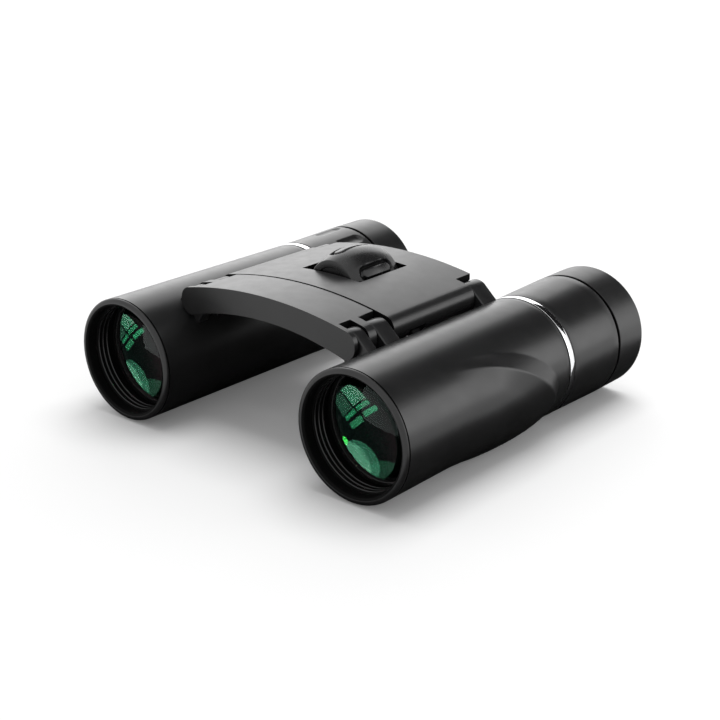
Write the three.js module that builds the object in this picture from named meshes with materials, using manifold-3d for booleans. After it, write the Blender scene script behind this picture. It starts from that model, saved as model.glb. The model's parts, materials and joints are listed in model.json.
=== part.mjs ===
// Folding pocket binoculars: two hinged barrels on a curved bridge that holds the focus wheel.
// Millimetres. X runs across, Y from the objectives to the eyepieces, Z up.
// The origin lies on the ground under the middle of the object. Inside the groups below,
// y is counted from the front rims and z from the height of the barrel axes.
import * as THREE from "three";
import { mergeVertices } from "three/addons/utils/BufferGeometryUtils.js";
import Module from "manifold-3d";

const wasm = await Module();
wasm.setup();

// ---- driving dimensions ------------------------------------------------------------------
const seatGap = 0.3; // between pieces that are fixed to each other
const runGap = 0.1; // round a shaft that turns or slides in its hole
const cementGap = 0.05; // round a lens, and in front of one that is pressed or cemented in
const sunk = 0.5; // how far a joined solid runs into the one that carries it
const past = 1; // how far a cutting tool runs past the face that it opens

// Hinges
const axisSpacing = 70; // between the barrel axes when fully open
const pinStandoff = 3.37; // from a tube's outer wall out to its hinge pin
const pinLean = THREE.MathUtils.degToRad(40.09); // of the pin inwards from above a barrel's axis
const pinRadius = 0.8;
const foldAngle = THREE.MathUtils.degToRad(64);

// Barrel tube
const tubeLength = 59.4;
const tubeRadius = 14.8;
const tubeTaper = 0.1; // how much smaller the radius is at the rear
const tubeWall = 1.1;
const rimRound = 0.5;
const lipWall = 1.75; // of the front lip, out to the tube's radius
const lipLength = 2.6;

// Raised finger grip on the outer side of each tube
const gripHeight = 0.4;
const gripLength = 34.5;
const gripInset = 4.4; // from its rear tip to the tube's rear end
const gripCentreAngle = THREE.MathUtils.degToRad(-12);
const gripHalfAngle = THREE.MathUtils.degToRad(65);
const gripSharpness = 1.85; // exponent of the leaf-shaped outline
const gripBevel = 0.16; // width of the sloping edge as a share of the leaf
const gripRings = 8;

// Rear section of each barrel
const chromeLength = 1.6;
const chromeProud = 0.05; // past the tube's rear radius
const sleeveLength = 18.3;
const sleeveFlare = 0.4; // how much wider the sleeve gets towards the rear
const eyecupGroove = 0.5;
const eyecupLength = 10.6;
const eyecupRound = 0.8;
const eyecupBrim = 3.35; // width of the flat rear rim
const eyecupFloor = 3.5; // depth from the rear rim to the inner face of the end wall
const eyecupWall = 1.1;
const eyeholeInset = 0.6; // how far the eyecup's hole stands in from the eye lens opening
const dentCount = 12; // round the dioptre ring
const dentLength = 9.2;
const dentRadius = 2.8;
const dentDepth = 0.35; // below the sleeve's front radius
const dentInset = 5.7; // from the middle of the dents to the ring's rear edge
const dentStart = THREE.MathUtils.degToRad(83);

// Objective group
const baffleLength = 3.7;
const ridgeCount = 3;
const ridgeHeight = 0.2;
const ridgeCrest = 0.3; // place of a ridge's crest as a share of its pitch
const focusTravel = 1.25; // of the objectives, each way
const cellPlay = 0.35; // left in front of the cell at the end of its travel
const cellTailPlay = 0.45; // left behind it
const cellSeatWall = 0.45;
const cellTailWall = 0.8;
const cellShoulder = 1.05; // how far the lens shoulder stands in from the lens seat
const shoulderLength = 1.3;
const glassInset = 0.1; // from the cell's front to the middle of the glass
const crownThickness = 4.2;
const crownCurve = 58;
const cementCurve = 45;
const flintThickness = 1.75;
const retainerWidth = 0.4;
const retainerLip = 0.24; // thickness of the retainer at its front edge
const retainerLength = 1;

// Prisms, and the drum that holds them
const prismSideRoom = 2.4; // how much less the prisms are wide than the drum's radius
const prismFaceRoom = 1.4; // the same for the height of the entry face
const roofFaceRoom = 0.4; // for the entry and exit faces of the roof prism
const prismFootRoom = 4.4; // for the length of the slanted mirror face
const prismAirGap = 0.4;
const roofLead = 0.5; // how far the roof prism stands back along the air gap
const cageWall = 2; // in front of the first prism
const cageRearWall = 2.13; // behind the roof prism
const cageWindowRoom = 7.9; // how much less the light opening's radius is than the drum's
const opticGap = 1; // between the drum and the eyepiece housing

// Eyepiece
const housingSocket = 4.4; // how far the housing reaches into the tube
const housingStep = 1.2; // from its seat in the tube down to its rear part
const housingWall = 1.3;
const housingPlay = 0.9; // from the housing's rear to the eyecup's end wall
const eyeCellLength = 22;
const eyeCellInset = 0.6; // from the housing's rear to the cell's
const eyeCellWall = 1;
const eyeCellLip = 0.8;
const fieldLensThickness = 3.6;
const eyeLensThickness = 4.4;
const eyeLensCurve = 24;
const eyeLensFlatness = 2; // how many times longer the rear curve is

// Bridge: heights are counted from the hinge pins
const bridgeOverhang = 0.2; // past the tubes' rear ends
const knuckleRadius = 3.1; // of the rounded side about each pin
const kneeAngle = THREE.MathUtils.degToRad(85); // where that rounding meets the underside
const bridgeCorner = 1.6;
const cornerRise = 1.69; // to the centre of the top corner's rounding
const crownRise = 6.2; // to the top at the middle
const bellyRise = 0.5; // to the underside at the middle
const partingWidth = 0.4;
const slotInset = 2.4; // from the pins in to the inner edge of the ear slots
const coverWall = 1.1;
const bulkheadLength = 2.2;
const rearWall = 2.2;
const knuckleLength = 1; // front knuckle of the cover
const tunnelRadius = 2.4; // space round the sliding sleeves
const tunnelWeb = 1.6; // from the tunnel to the rear ear's notch
const lipDrop = 0.7; // how far the cover's side reaches below the pin

// Ears of the barrels, and the bars of the strip between them
const earRadius = 3.3;
const earSpread = THREE.MathUtils.degToRad(15.3); // of each flank's foot, about the barrel's axis
const earFoot = 0.33; // how deep the flanks' feet stand in the tube's wall
const earSideGap = 0.3;
const earEndGap = 0.2; // from the middle ear to the parting line
const frontWall = 1.2; // of the strip, in front of the first ear
const frontEarLength = 3.2;
const knuckleBar = 2.4; // of the strip, between the first two ears
const middleEarLength = 4.8;
const rearEarLength = 5.3;
const pinCover = 0.36; // of the strip, in front of the pin

// Focus drive
const shaftRise = 1.6; // of the shaft over the bridge's underside
const shaftRadius = 1.2;
const bushRadius = 2.2;
const spineWall = 1; // round the bushes, and of the trough under the shaft
const bushInset = 0.9; // from the rear bush to the bridge's rear face
const wheelLength = 16.3;
const wheelEndRadius = 6.7;
const wheelBelly = 1.9; // how much fatter the wheel is at the middle
const wheelChamfer = 0.4;
const wheelSlotTuck = 0.1; // the cover's slot is this much narrower than the wheel, above its axis
const wheelSlotGap = 0.3; // before and behind the wheel
const wheelDents = 4;
const wheelDentLength = 12;
const wheelDentRadius = 1.6;
const wheelDentDepth = 0.6;
const wheelDentAngle = THREE.MathUtils.degToRad(27);
const carriageLength = 2.2;
const carriagePlay = 0.25; // left in front of the carriage at the end of its travel
const nutRadius = 2.4;
const nutLength = 3.7;
const nutPlay = 1.05; // left between the nut and the wheel
const troughPlay = 0.5; // round the nut
const forkReach = 0.6; // past the pin's axis
const sleeveWall = 0.5;
const flangeHeight = 0.6;
const flangeLength = 0.8;
const armLength = 2.6;
const armWidth = 1.8;
const armInset = 0.4; // from the arm to the cell's rear end
const rodRadius = 0.9;
const rodReach = 4.45; // of the guide rods, past the carriage's travel
const rodStart = 0.5; // from the cover's front to the rods
const rodInset = 2.6; // from the cavity's side to the rods
const rodBlockHalf = 1.9;

// Bottom plate and its screws
const plateThickness = 1.2;
const screwClearance = 0.9; // from the wheel's slot to the screw bosses
const frontScrewInset = 2.3; // behind the guide rods' ends
const rearScrewInset = 5.4; // before the bridge's rear face
const screwRadius = 0.8;
const screwHeadRadius = 1.5;
const screwHeadHeight = 0.8;
const screwLength = 3.2;
const bossRadius = 2.2;
const padHeight = 0.7;

// Facets round a full turn
const bigTurn = 32;
const midTurn = 24;
const smallTurn = 12;

// ---- derived places ----------------------------------------------------------------------
// Radii about a barrel's axis
const tubeRearRadius = tubeRadius - tubeTaper;
const boreRadius = tubeRadius - tubeWall;
const lipRadius = tubeRadius - lipWall;
const innerFit = boreRadius - seatGap; // of what slides in or seats in a tube
const chromeRadius = tubeRearRadius + chromeProud;
const sleeveRadius = chromeRadius;
const eyecupRadius = sleeveRadius + sleeveFlare;
const eyecupRim = eyecupRadius - eyecupBrim;
const housingRadius = innerFit - housingStep;
const sleeveBore = housingRadius + seatGap;
const eyeCellRadius = housingRadius - housingWall - seatGap;
const eyeCellBore = eyeCellRadius - eyeCellWall;
const eyecupHole = eyeCellBore - eyeCellLip - eyeholeInset;
const axisHeight = Math.max(eyecupRadius, tubeRadius);

// Hinge pins
const pinDistance = tubeRadius + pinStandoff;
const pinAngle = Math.PI / 2 + pinLean; // seen from a barrel's own axis
const pinInset = pinDistance * Math.sin(pinLean);
const pinRise = pinDistance * Math.cos(pinLean);
const pinX = axisSpacing / 2 - pinInset;

// Along a barrel
const baffleFront = lipLength + seatGap;
const cellFront = baffleFront + baffleLength + focusTravel + cellPlay;
const objectiveVertex = cellFront + glassInset;
const housingFront = tubeLength - housingSocket;
const chromeFront = tubeLength + seatGap;
const sleeveFront = chromeFront + chromeLength + seatGap;
const sleeveRear = sleeveFront + sleeveLength;
const eyecupFront = sleeveRear + eyecupGroove;
const overallLength = eyecupFront + eyecupLength;
const eyecupInside = overallLength - eyecupFloor;
const housingRear = eyecupInside - housingPlay;
const eyeCellRear = housingRear - eyeCellInset;
const eyeCellFront = eyeCellRear - eyeCellLength;
const gripRear = tubeLength - gripInset;
const gripFront = gripRear - gripLength;

// Prisms. The air gap between them lies at 45 degrees: on it, y + z keeps one value.
const slant = Math.PI / 8;
const prismWidth = innerFit - prismSideRoom;
const prismFace = innerFit - prismFaceRoom;
const roofSide = innerFit - roofFaceRoom;
const prismFoot = innerFit - prismFootRoom;
const cageRear = housingFront - opticGap;
const roofExit = cageRear - cageRearWall;
const gapSum = roofExit - prismAirGap * Math.SQRT2 - roofSide / 2 - roofLead;
const roofFoot = gapSum + prismAirGap * Math.SQRT2 - roofExit;
const prismFront = gapSum - prismFace / 2;
const cageFront = prismFront - cageWall;

// The sliding cell, its arm and the carriage that pushes it
const cellRear = cageFront - focusTravel - cellTailPlay;
const armRear = cellRear - armInset;
const armFront = armRear - armLength;
const carriageRear = armFront - flangeLength - seatGap;
const carriageFront = carriageRear - carriageLength;

// Along the bridge
const bridgeRear = tubeLength + bridgeOverhang;
const notchFront = bridgeRear - rearEarLength - earSideGap;
const tunnelRear = notchFront - tunnelWeb;
const cavityRear = bridgeRear - rearWall;
const cavityFront = carriageFront - focusTravel - carriagePlay;
const coverFront = cavityFront - bulkheadLength;
const partingLine = coverFront - partingWidth; // rear face of the front strip
const middleEar = partingLine - earEndGap - middleEarLength;
const frontEar = middleEar - knuckleBar - 2 * earSideGap - frontEarLength;
const bridgeFront = frontEar - earSideGap - frontWall;
const earSpans = [
  [frontEar, frontEar + frontEarLength],
  [middleEar, middleEar + middleEarLength],
  [notchFront + earSideGap, bridgeRear],
];
const wheelFront = carriageFront + nutLength + focusTravel + nutPlay;
const wheelRear = wheelFront + wheelLength;
const rodFront = coverFront + rodStart;
const rodRear = carriageRear + focusTravel + rodReach;
const screwRows = [rodRear + frontScrewInset, bridgeRear - rearScrewInset];

// Across the bridge, and its arcs: each passes through its crown and meets the rounded sides
const bridgeHalfWidth = pinX + knuckleRadius;
const slotInner = pinX - slotInset;
const cavityHalf = slotInner - coverWall - seatGap;
const wheelCrownRadius = wheelEndRadius + wheelBelly;
const rodOffset = cavityHalf - rodInset;
const screwOffset = wheelCrownRadius + seatGap + screwClearance + bossRadius;
const topCrown = pinRise + crownRise;
const bottomCrown = pinRise + bellyRise;
const shaftHeight = bottomCrown + shaftRise;
const cornerX = bridgeHalfWidth - bridgeCorner;
const cornerDrop = crownRise - cornerRise;
const topArcRadius = (cornerX ** 2 + cornerDrop ** 2 - bridgeCorner ** 2)
  / (2 * (cornerDrop - bridgeCorner));
const kneeX = pinX + knuckleRadius * Math.cos(kneeAngle);
const kneeDrop = bellyRise + knuckleRadius * Math.sin(kneeAngle);
const bottomArcRadius = (kneeX ** 2 + kneeDrop ** 2) / (2 * kneeDrop);
const topCentre = topCrown - topArcRadius;
const bottomCentre = bottomCrown - bottomArcRadius;
const far = 2 * overallLength; // well past the whole object, for cutting tools

// ---- solids ------------------------------------------------------------------------------
function solidOf(geometry) {
  const bare = new THREE.BufferGeometry();
  const loose = geometry.index ? geometry.toNonIndexed() : geometry;
  bare.setAttribute("position", loose.getAttribute("position"));
  const merged = mergeVertices(bare, 1e-4);
  const vertProperties = merged.getAttribute("position").array;
  const triVerts = new Uint32Array(merged.index.array);
  return new wasm.Manifold(new wasm.Mesh({ numProp: 3, vertProperties, triVerts }));
}

function geometryOf(solid) {
  const mesh = solid.getMesh();
  const points = new Float32Array(mesh.numVert * 3);
  for (let i = 0; i < mesh.numVert; i++) {
    points.set(mesh.vertProperties.subarray(i * mesh.numProp, i * mesh.numProp + 3), i * 3);
  }
  const geometry = new THREE.BufferGeometry();
  geometry.setAttribute("position", new THREE.BufferAttribute(points, 3));
  geometry.setIndex(new THREE.BufferAttribute(mesh.triVerts, 1));
  return geometry;
}

const join = (first, ...others) => others.reduce((sum, next) => sum.add(next), first);
const cut = (first, ...tools) => tools.reduce((rest, tool) => rest.subtract(tool), first);

const steps = (from, to, count) =>
  Array.from({ length: count + 1 }, (_, i) => from + ((to - from) * i) / count);

function signedArea(points) {
  return points.reduce((sum, [r, y], i) => {
    const [nextR, nextY] = points[(i + 1) % points.length];
    return sum + (r * nextY - nextR * y) / 2;
  }, 0);
}

// A body of revolution about Y, from [radius, y] points: a ring, or a solid that ends on the axis.
function turned(profile, segments = midTurn, x = 0, z = 0) {
  const points = signedArea(profile) > 0 ? [...profile] : [...profile].reverse();
  const onAxis = points.findIndex(([r]) => r === 0);
  if (onAxis < 0) points.push(points[0]);
  else {
    const after = points[(onAxis + 1) % points.length][0] === 0 ? onAxis + 1 : onAxis;
    points.push(...points.splice(0, after));
  }
  const lathe = new THREE.LatheGeometry(points.map(([r, y]) => new THREE.Vector2(r, y)), segments);
  return solidOf(lathe.translate(x, 0, z));
}

const rod = (radius, y0, y1, x = 0, z = 0, segments = smallTurn) =>
  turned([[0, y0], [radius, y0], [radius, y1], [0, y1]], segments, x, z);

const ring = (inner, outer, y0, y1, x = 0, z = 0, segments = midTurn) =>
  turned([[inner, y0], [outer, y0], [outer, y1], [inner, y1]], segments, x, z);

// An outline of [x, z] points, carried along Y.
function slab(outline, y0, y1) {
  const shape = new THREE.Shape(outline.map(([x, z]) => new THREE.Vector2(x, z)));
  const extruded = new THREE.ExtrudeGeometry(shape, { depth: y1 - y0, bevelEnabled: false });
  return solidOf(extruded.rotateX(Math.PI / 2).translate(0, y1, 0));
}

function block(x0, x1, y0, y1, z0, z1) {
  const box = new THREE.BoxGeometry(x1 - x0, y1 - y0, z1 - z0);
  return solidOf(box.translate((x0 + x1) / 2, (y0 + y1) / 2, (z0 + z1) / 2));
}

const upright = (radius, z0, z1, x, y) => {
  const cylinder = new THREE.CylinderGeometry(radius, radius, z1 - z0, smallTurn);
  return solidOf(cylinder.rotateX(Math.PI / 2).translate(x, y, (z0 + z1) / 2));
};

const arc = (x, z, radius, from, to, count) =>
  steps(from, to, count).map((a) => [x + radius * Math.cos(a), z + radius * Math.sin(a)]);

// ---- barrel tube -------------------------------------------------------------------------
// How far the finger grip stands out at an angle about the barrel's axis and a distance y.
function gripRise(angle, y) {
  const turn = Math.atan2(Math.sin(angle - gripCentreAngle), Math.cos(angle - gripCentreAngle));
  const across = Math.abs(turn) / gripHalfAngle;
  const along = (y - gripFront) / (gripRear - gripFront);
  if (along <= 0) return 0;
  const reach = (across ** gripSharpness + along ** gripSharpness) ** (1 / gripSharpness);
  const edge = THREE.MathUtils.clamp((1 - reach) / gripBevel, 0, 1);
  return gripHeight * edge * THREE.MathUtils.clamp(along / gripBevel, 0, 1);
}

// Points of a quarter round between a flat end and a straight side: [inset from the side, depth].
const roundedEdge = (size) =>
  steps(0, Math.PI / 2, 2).map((a) => [size * (1 - Math.sin(a)), size * (1 - Math.cos(a))]);

function tubeRings() {
  const rings = [];
  const addRing = (radiusAt, y) => {
    const angles = steps(0, 2 * Math.PI, bigTurn).slice(0, bigTurn);
    rings.push(angles.map((a) => [radiusAt(a) * Math.cos(a), y, radiusAt(a) * Math.sin(a)]));
  };
  for (const [inset, y] of roundedEdge(rimRound)) addRing(() => tubeRadius - inset, y);
  for (const y of [...steps(gripFront, gripRear, gripRings), tubeLength]) {
    const base = THREE.MathUtils.lerp(tubeRadius, tubeRearRadius, y / tubeLength);
    addRing((a) => base + gripRise(a, y), y);
  }
  addRing(() => boreRadius, tubeLength);
  addRing(() => boreRadius, lipLength);
  addRing(() => lipRadius, lipLength);
  addRing(() => lipRadius, seatGap);
  addRing(() => lipRadius + seatGap, 0);
  return rings;
}

// A closed skin through a loop of rings that all have the same number of points.
function skin(rings) {
  const count = rings[0].length;
  const index = [];
  rings.forEach((_, i) => {
    const next = (i + 1) % rings.length;
    for (let j = 0; j < count; j++) {
      const [a, b] = [i * count + j, i * count + ((j + 1) % count)];
      const [c, d] = [next * count + j, next * count + ((j + 1) % count)];
      index.push(a, c, b, b, c, d);
    }
  });
  const geometry = new THREE.BufferGeometry();
  geometry.setAttribute("position", new THREE.Float32BufferAttribute(rings.flat(2), 3));
  geometry.setIndex(index);
  return solidOf(geometry);
}

// Outline of a hinge ear about the pin, with its two flanks running down into the tube's wall.
// The outline is in a barrel's own x and z, grown by a margin and turned about the pin.
function earOutline(margin = 0, fold = 0) {
  const radius = earRadius + margin;
  const foot = tubeRadius - earFoot;
  const flankAngle = (side) => {
    const spread = earSpread + margin / foot;
    const [x, z] = [foot * Math.cos(pinAngle + side * spread), foot * Math.sin(pinAngle + side * spread)];
    const [dx, dz] = [x + pinInset, z - pinRise];
    return { point: [x, z], angle: Math.atan2(dz, dx) - side * Math.acos(radius / Math.hypot(dx, dz)) };
  };
  const outer = flankAngle(-1);
  const inner = flankAngle(1);
  const to = inner.angle < outer.angle ? inner.angle + 2 * Math.PI : inner.angle;
  const outline = [outer.point, ...arc(-pinInset, pinRise, radius, outer.angle, to, 8), inner.point];
  const [cos, sin] = [Math.cos(-fold), Math.sin(-fold)];
  return outline.map(([x, z]) => {
    const [dx, dz] = [x + pinInset, z - pinRise];
    return [-pinInset + dx * cos - dz * sin, pinRise + dx * sin + dz * cos];
  });
}

// A box that lies along the line from the hinge pin to the barrel's axis.
function strut(width, y0, y1, nearPin, farFromPin) {
  const box = new THREE.BoxGeometry(farFromPin - nearPin, y1 - y0, width);
  box.translate(pinDistance - (nearPin + farFromPin) / 2, (y0 + y1) / 2, 0);
  return solidOf(box.rotateY(-pinAngle));
}

function barrelTube() {
  const play = focusTravel + seatGap;
  const armSlot = strut(
    armWidth + 2 * seatGap, armFront - play, armRear + play,
    pinDistance - tubeRadius - seatGap, pinDistance - boreRadius + tubeWall,
  );
  const ears = earSpans.map(([y0, y1]) => slab(earOutline(), y0, y1));
  const pinHole = rod(pinRadius + runGap, 0, tubeLength + far, -pinInset, pinRise);
  return cut(join(skin(tubeRings()), ...ears), pinHole, armSlot);
}

// ---- objective group ---------------------------------------------------------------------
function frontBaffle() {
  const pitch = baffleLength / ridgeCount;
  const valley = lipRadius;
  const crest = lipRadius - ridgeHeight;
  const teeth = steps(0, ridgeCount - 1, ridgeCount - 1).flatMap((i) => [
    [crest, baffleFront + (i + ridgeCrest) * pitch],
    [valley, baffleFront + (i + 1) * pitch],
  ]);
  const seat = [[innerFit, baffleFront + baffleLength], [innerFit, baffleFront]];
  return turned([...seat, [valley, baffleFront], ...teeth], midTurn);
}

const seatRadius = innerFit - cellSeatWall;
const glassRadius = seatRadius - cementGap;
const dome = (curve, radius) => curve - Math.sqrt(curve * curve - radius * radius);

// Points of a lens face, from the axis out to the edge: bulge is + when the middle is behind.
const lensFace = (vertex, curve, radius, bulge) =>
  steps(0, radius, 3).map((r) => [r, vertex - bulge * dome(curve, r)]);

function lens(front, back, segments = midTurn) {
  return turned([...front, ...[...back].reverse()], segments);
}

function objectiveCrown() {
  const front = lensFace(objectiveVertex, crownCurve, glassRadius, -1);
  const back = lensFace(objectiveVertex + crownThickness, cementCurve, glassRadius, 1);
  return lens(front, back);
}

const flintVertex = objectiveVertex + crownThickness + cementGap;
const flintBack = flintVertex + flintThickness;

function objectiveFlint() {
  const front = lensFace(flintVertex, cementCurve, glassRadius, 1);
  return lens(front, [[0, flintBack], [glassRadius, flintBack]]);
}

function objectiveRetainer() {
  const edge = objectiveVertex + dome(crownCurve, glassRadius - retainerWidth) - cementGap;
  return turned([
    [glassRadius, edge - retainerLength],
    [glassRadius, edge],
    [glassRadius - retainerWidth, edge],
    [glassRadius - retainerLip, edge - retainerLength],
  ]);
}

// The cell carries the doublet on a long tail, and an arm with a sleeve on the hinge pin.
function objectiveCell() {
  const tail = innerFit - cellTailWall;
  const shoulder = flintBack + cementGap;
  const shell = turned([
    [innerFit, cellFront],
    [innerFit, cellRear],
    [tail, cellRear],
    [tail, shoulder + shoulderLength],
    [seatRadius - cellShoulder, shoulder + shoulderLength],
    [seatRadius - cellShoulder, shoulder],
    [seatRadius, shoulder],
    [seatRadius, cellFront],
  ]);
  const hole = pinRadius + runGap;
  const sleeve = hole + sleeveWall;
  const flange = sleeve + flangeHeight;
  const sleeveStart = carriageFront - seatGap - flangeLength;
  const collar = join(
    rod(sleeve, sleeveStart, armRear, -pinInset, pinRise),
    rod(flange, sleeveStart, sleeveStart + flangeLength, -pinInset, pinRise),
    rod(flange, carriageRear + seatGap, armFront, -pinInset, pinRise),
  );
  const arm = strut(armWidth, armFront, armRear, sleeveWall, pinDistance - tail - 0.5 * cellTailWall);
  return cut(join(shell, collar, arm), rod(hole, 0, far, -pinInset, pinRise));
}

// ---- prisms ------------------------------------------------------------------------------
// An outline of [y, z] points, carried across the barrel and centred on its axis.
function crossSlab(outline, width) {
  const shape = new THREE.Shape(outline.map(([y, z]) => new THREE.Vector2(y, z)));
  const extruded = new THREE.ExtrudeGeometry(shape, { depth: width, bevelEnabled: false });
  extruded.translate(0, 0, -width / 2);
  return solidOf(extruded.rotateX(Math.PI / 2).rotateZ(Math.PI / 2));
}

function prismEntry() {
  const foot = [prismFront + prismFoot * Math.cos(slant), -prismFace / 2 - prismFoot * Math.sin(slant)];
  const rest = (gapSum - foot[0] - foot[1]) / 2;
  const outline = [
    [prismFront, prismFace / 2],
    [prismFront, -prismFace / 2],
    foot,
    [foot[0] + rest, foot[1] + rest],
  ];
  return crossSlab(outline, prismWidth);
}

function prismRoof() {
  const shoulder = roofSide / Math.SQRT2;
  const top = [roofExit, roofFoot + roofSide];
  const low = [roofExit - shoulder, roofFoot + shoulder];
  const body = crossSlab([[roofExit, roofFoot], top, low], prismWidth);
  // The roof: a square bar standing on its edge, whose upper edge is the ridge.
  const side = 2 * roofSide;
  const bar = new THREE.BoxGeometry(side, 3 * roofSide, side).rotateY(Math.PI / 4);
  bar.translate(0, 0, -side * Math.SQRT1_2);
  bar.rotateX(slant).translate(0, roofExit, roofFoot + roofSide);
  return body.intersect(solidOf(bar));
}

function prismCage() {
  const drum = rod(innerFit, cageFront, cageRear, 0, 0, midTurn);
  const half = prismWidth / 2 + seatGap;
  const floor = -prismFace / 2 - prismFoot * Math.sin(slant) - seatGap;
  const pocket = block(-half, half, prismFront - seatGap, roofExit + seatGap, floor, far);
  return cut(drum, pocket, rod(innerFit - cageWindowRoom, 0, overallLength));
}

// ---- rear section ------------------------------------------------------------------------
function eyepieceHousing() {
  const bore = housingRadius - housingWall;
  return turned([
    [bore, housingFront],
    [innerFit, housingFront],
    [innerFit, tubeLength - seatGap],
    [housingRadius, tubeLength - seatGap],
    [housingRadius, housingRear],
    [bore, housingRear],
  ]);
}

const chromeRing = () =>
  ring(sleeveBore, chromeRadius, chromeFront, chromeFront + chromeLength, 0, 0, bigTurn);

function rearSleeve() {
  return turned([
    [sleeveBore, sleeveFront],
    [sleeveRadius, sleeveFront],
    [(sleeveRadius + eyecupRadius) / 2, (sleeveFront + sleeveRear) / 2],
    [eyecupRadius, sleeveRear],
    [sleeveBore, sleeveRear],
  ], bigTurn);
}

// A row of long finger dents round the rear half of the ring.
function dioptreRing() {
  const halfWidth = Math.sqrt(2 * dentRadius * dentDepth - dentDepth ** 2);
  const dents = steps(0, dentCount - 1, dentCount - 1).map((i) => {
    const capsule = new THREE.CapsuleGeometry(dentRadius, dentLength - 2 * halfWidth, 2, 8);
    const angle = dentStart + (i * 2 * Math.PI) / dentCount;
    capsule.translate(sleeveRadius + dentRadius - dentDepth, sleeveRear - dentInset, 0);
    return solidOf(capsule.rotateY(-angle));
  });
  return cut(rearSleeve(), ...dents);
}

function eyecup() {
  const rearEdge = roundedEdge(eyecupRound).reverse();
  return turned([
    [sleeveBore, eyecupFront],
    [eyecupRadius - rimRound / 2, eyecupFront],
    [eyecupRadius, eyecupFront + rimRound / 2],
    ...rearEdge.map(([inset, depth]) => [eyecupRadius - inset, overallLength - depth]),
    [eyecupRim, overallLength],
    [eyecupHole, eyecupInside + eyecupWall],
    [eyecupHole, eyecupInside],
    [sleeveBore, eyecupInside],
  ], bigTurn);
}

const eyeGlass = eyeCellBore - cementGap;

function eyepieceCell() {
  return turned([
    [eyeCellRadius, eyeCellFront],
    [eyeCellRadius, eyeCellRear],
    [eyeCellBore - eyeCellLip, eyeCellRear],
    [eyeCellBore - eyeCellLip, eyeCellRear - eyeCellLip],
    [eyeCellBore, eyeCellRear - eyeCellLip],
    [eyeCellBore, eyeCellFront + eyeCellLip],
    [eyeCellBore - eyeCellLip, eyeCellFront + eyeCellLip],
    [eyeCellBore - eyeCellLip, eyeCellFront],
  ]);
}

function fieldLens() {
  const flat = eyeCellFront + eyeCellLip + cementGap;
  const back = lensFace(flat + fieldLensThickness, eyeLensCurve, eyeGlass, 1);
  return lens([[0, flat], [eyeGlass, flat]], back);
}

function eyeLens() {
  const edge = eyeCellRear - eyeCellLip - cementGap;
  const rearCurve = eyeLensFlatness * eyeLensCurve;
  const vertex = edge + dome(rearCurve, eyeCellBore - eyeCellLip);
  const front = lensFace(vertex - eyeLensThickness, eyeLensCurve, eyeGlass, -1);
  return lens(front, lensFace(vertex, rearCurve, eyeGlass, 1));
}

// ---- bridge ------------------------------------------------------------------------------
// Section of the bridge: a curved band whose ends are rounded about the hinge pins.
function bridgeOutline() {
  const lean = Math.asin(cornerX / (topArcRadius - bridgeCorner));
  const kneeLean = Math.asin(kneeX / bottomArcRadius);
  const quarter = Math.PI / 2;
  const right = [
    ...arc(cornerX, pinRise + cornerRise, bridgeCorner, 0, quarter - lean, 3).reverse(),
    ...arc(pinX, pinRise, knuckleRadius, 0, -kneeAngle, 4),
  ];
  const middle = arc(0, bottomCentre, bottomArcRadius, quarter - kneeLean, quarter + kneeLean, 8);
  const left = right.map(([x, z]) => [-x, z]).reverse();
  const top = arc(0, topCentre, topArcRadius, quarter + lean, quarter - lean, 10);
  return [...right, ...middle.slice(1, -1), ...left, ...top.slice(1, -1)].reverse();
}

const bothSides = (make) => [1, -1].map(make);
const sideways = (outline, side) => {
  const moved = outline.map(([x, z]) => [side * x, z]);
  return side > 0 ? moved : moved.reverse();
};

// The space an ear sweeps as its barrel folds, between two distances along the bridge.
function earSweep(y0, y1, side) {
  return steps(0, foldAngle, 3).map((fold) => {
    const outline = earOutline(seatGap, fold).map(([x, z]) => [x + axisSpacing / 2, z]);
    return slab(sideways(outline, side), y0, y1);
  });
}

function earPocket(y0, y1, side) {
  const [x0, x1] = [side * slotInner, side * far].sort((a, b) => a - b);
  return [...earSweep(y0, y1, side), block(x0, x1, y0, y1, -far, far)];
}

const pinHoles = (y0, y1) =>
  bothSides((side) => rod(pinRadius + runGap, y0, y1, side * pinX, pinRise));

const pinFront = bridgeFront + pinCover + seatGap;

function frontStrip() {
  const pockets = bothSides((side) => [
    ...earPocket(earSpans[0][0] - earSideGap, earSpans[0][1] + earSideGap, side),
    ...earPocket(earSpans[1][0] - earSideGap, partingLine + past, side),
  ]).flat();
  const body = slab(bridgeOutline(), bridgeFront, partingLine);
  return cut(body, ...pockets, ...pinHoles(pinFront - seatGap, partingLine + past));
}

const innerTop = (x) => topCentre + Math.sqrt((topArcRadius - coverWall) ** 2 - x * x);
const plateTop = (x) => bottomCentre + Math.sqrt((bottomArcRadius + plateThickness) ** 2 - x * x);

function coverCavity() {
  const lean = Math.asin(cavityHalf / (topArcRadius - coverWall));
  const ceiling = arc(0, topCentre, topArcRadius - coverWall, Math.PI / 2 - lean, Math.PI / 2 + lean, 6);
  return slab([...ceiling, [-cavityHalf, -far], [cavityHalf, -far]], cavityFront, cavityRear);
}

// The tunnel round a sliding sleeve, open below so that the arm can swing with its barrel.
function sleeveTunnel(side) {
  const start = cavityHalf - sunk;
  const outside = bridgeHalfWidth + past;
  const low = -Math.asin(lipDrop / tunnelRadius);
  const outline = [
    [start, -far],
    [outside, -far],
    [outside, pinRise - lipDrop],
    ...arc(pinX, pinRise, tunnelRadius, low, Math.PI / 2, 4),
    [start, innerTop(start) - runGap],
  ];
  return slab(sideways(outline, side), coverFront + knuckleLength, tunnelRear);
}

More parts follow.
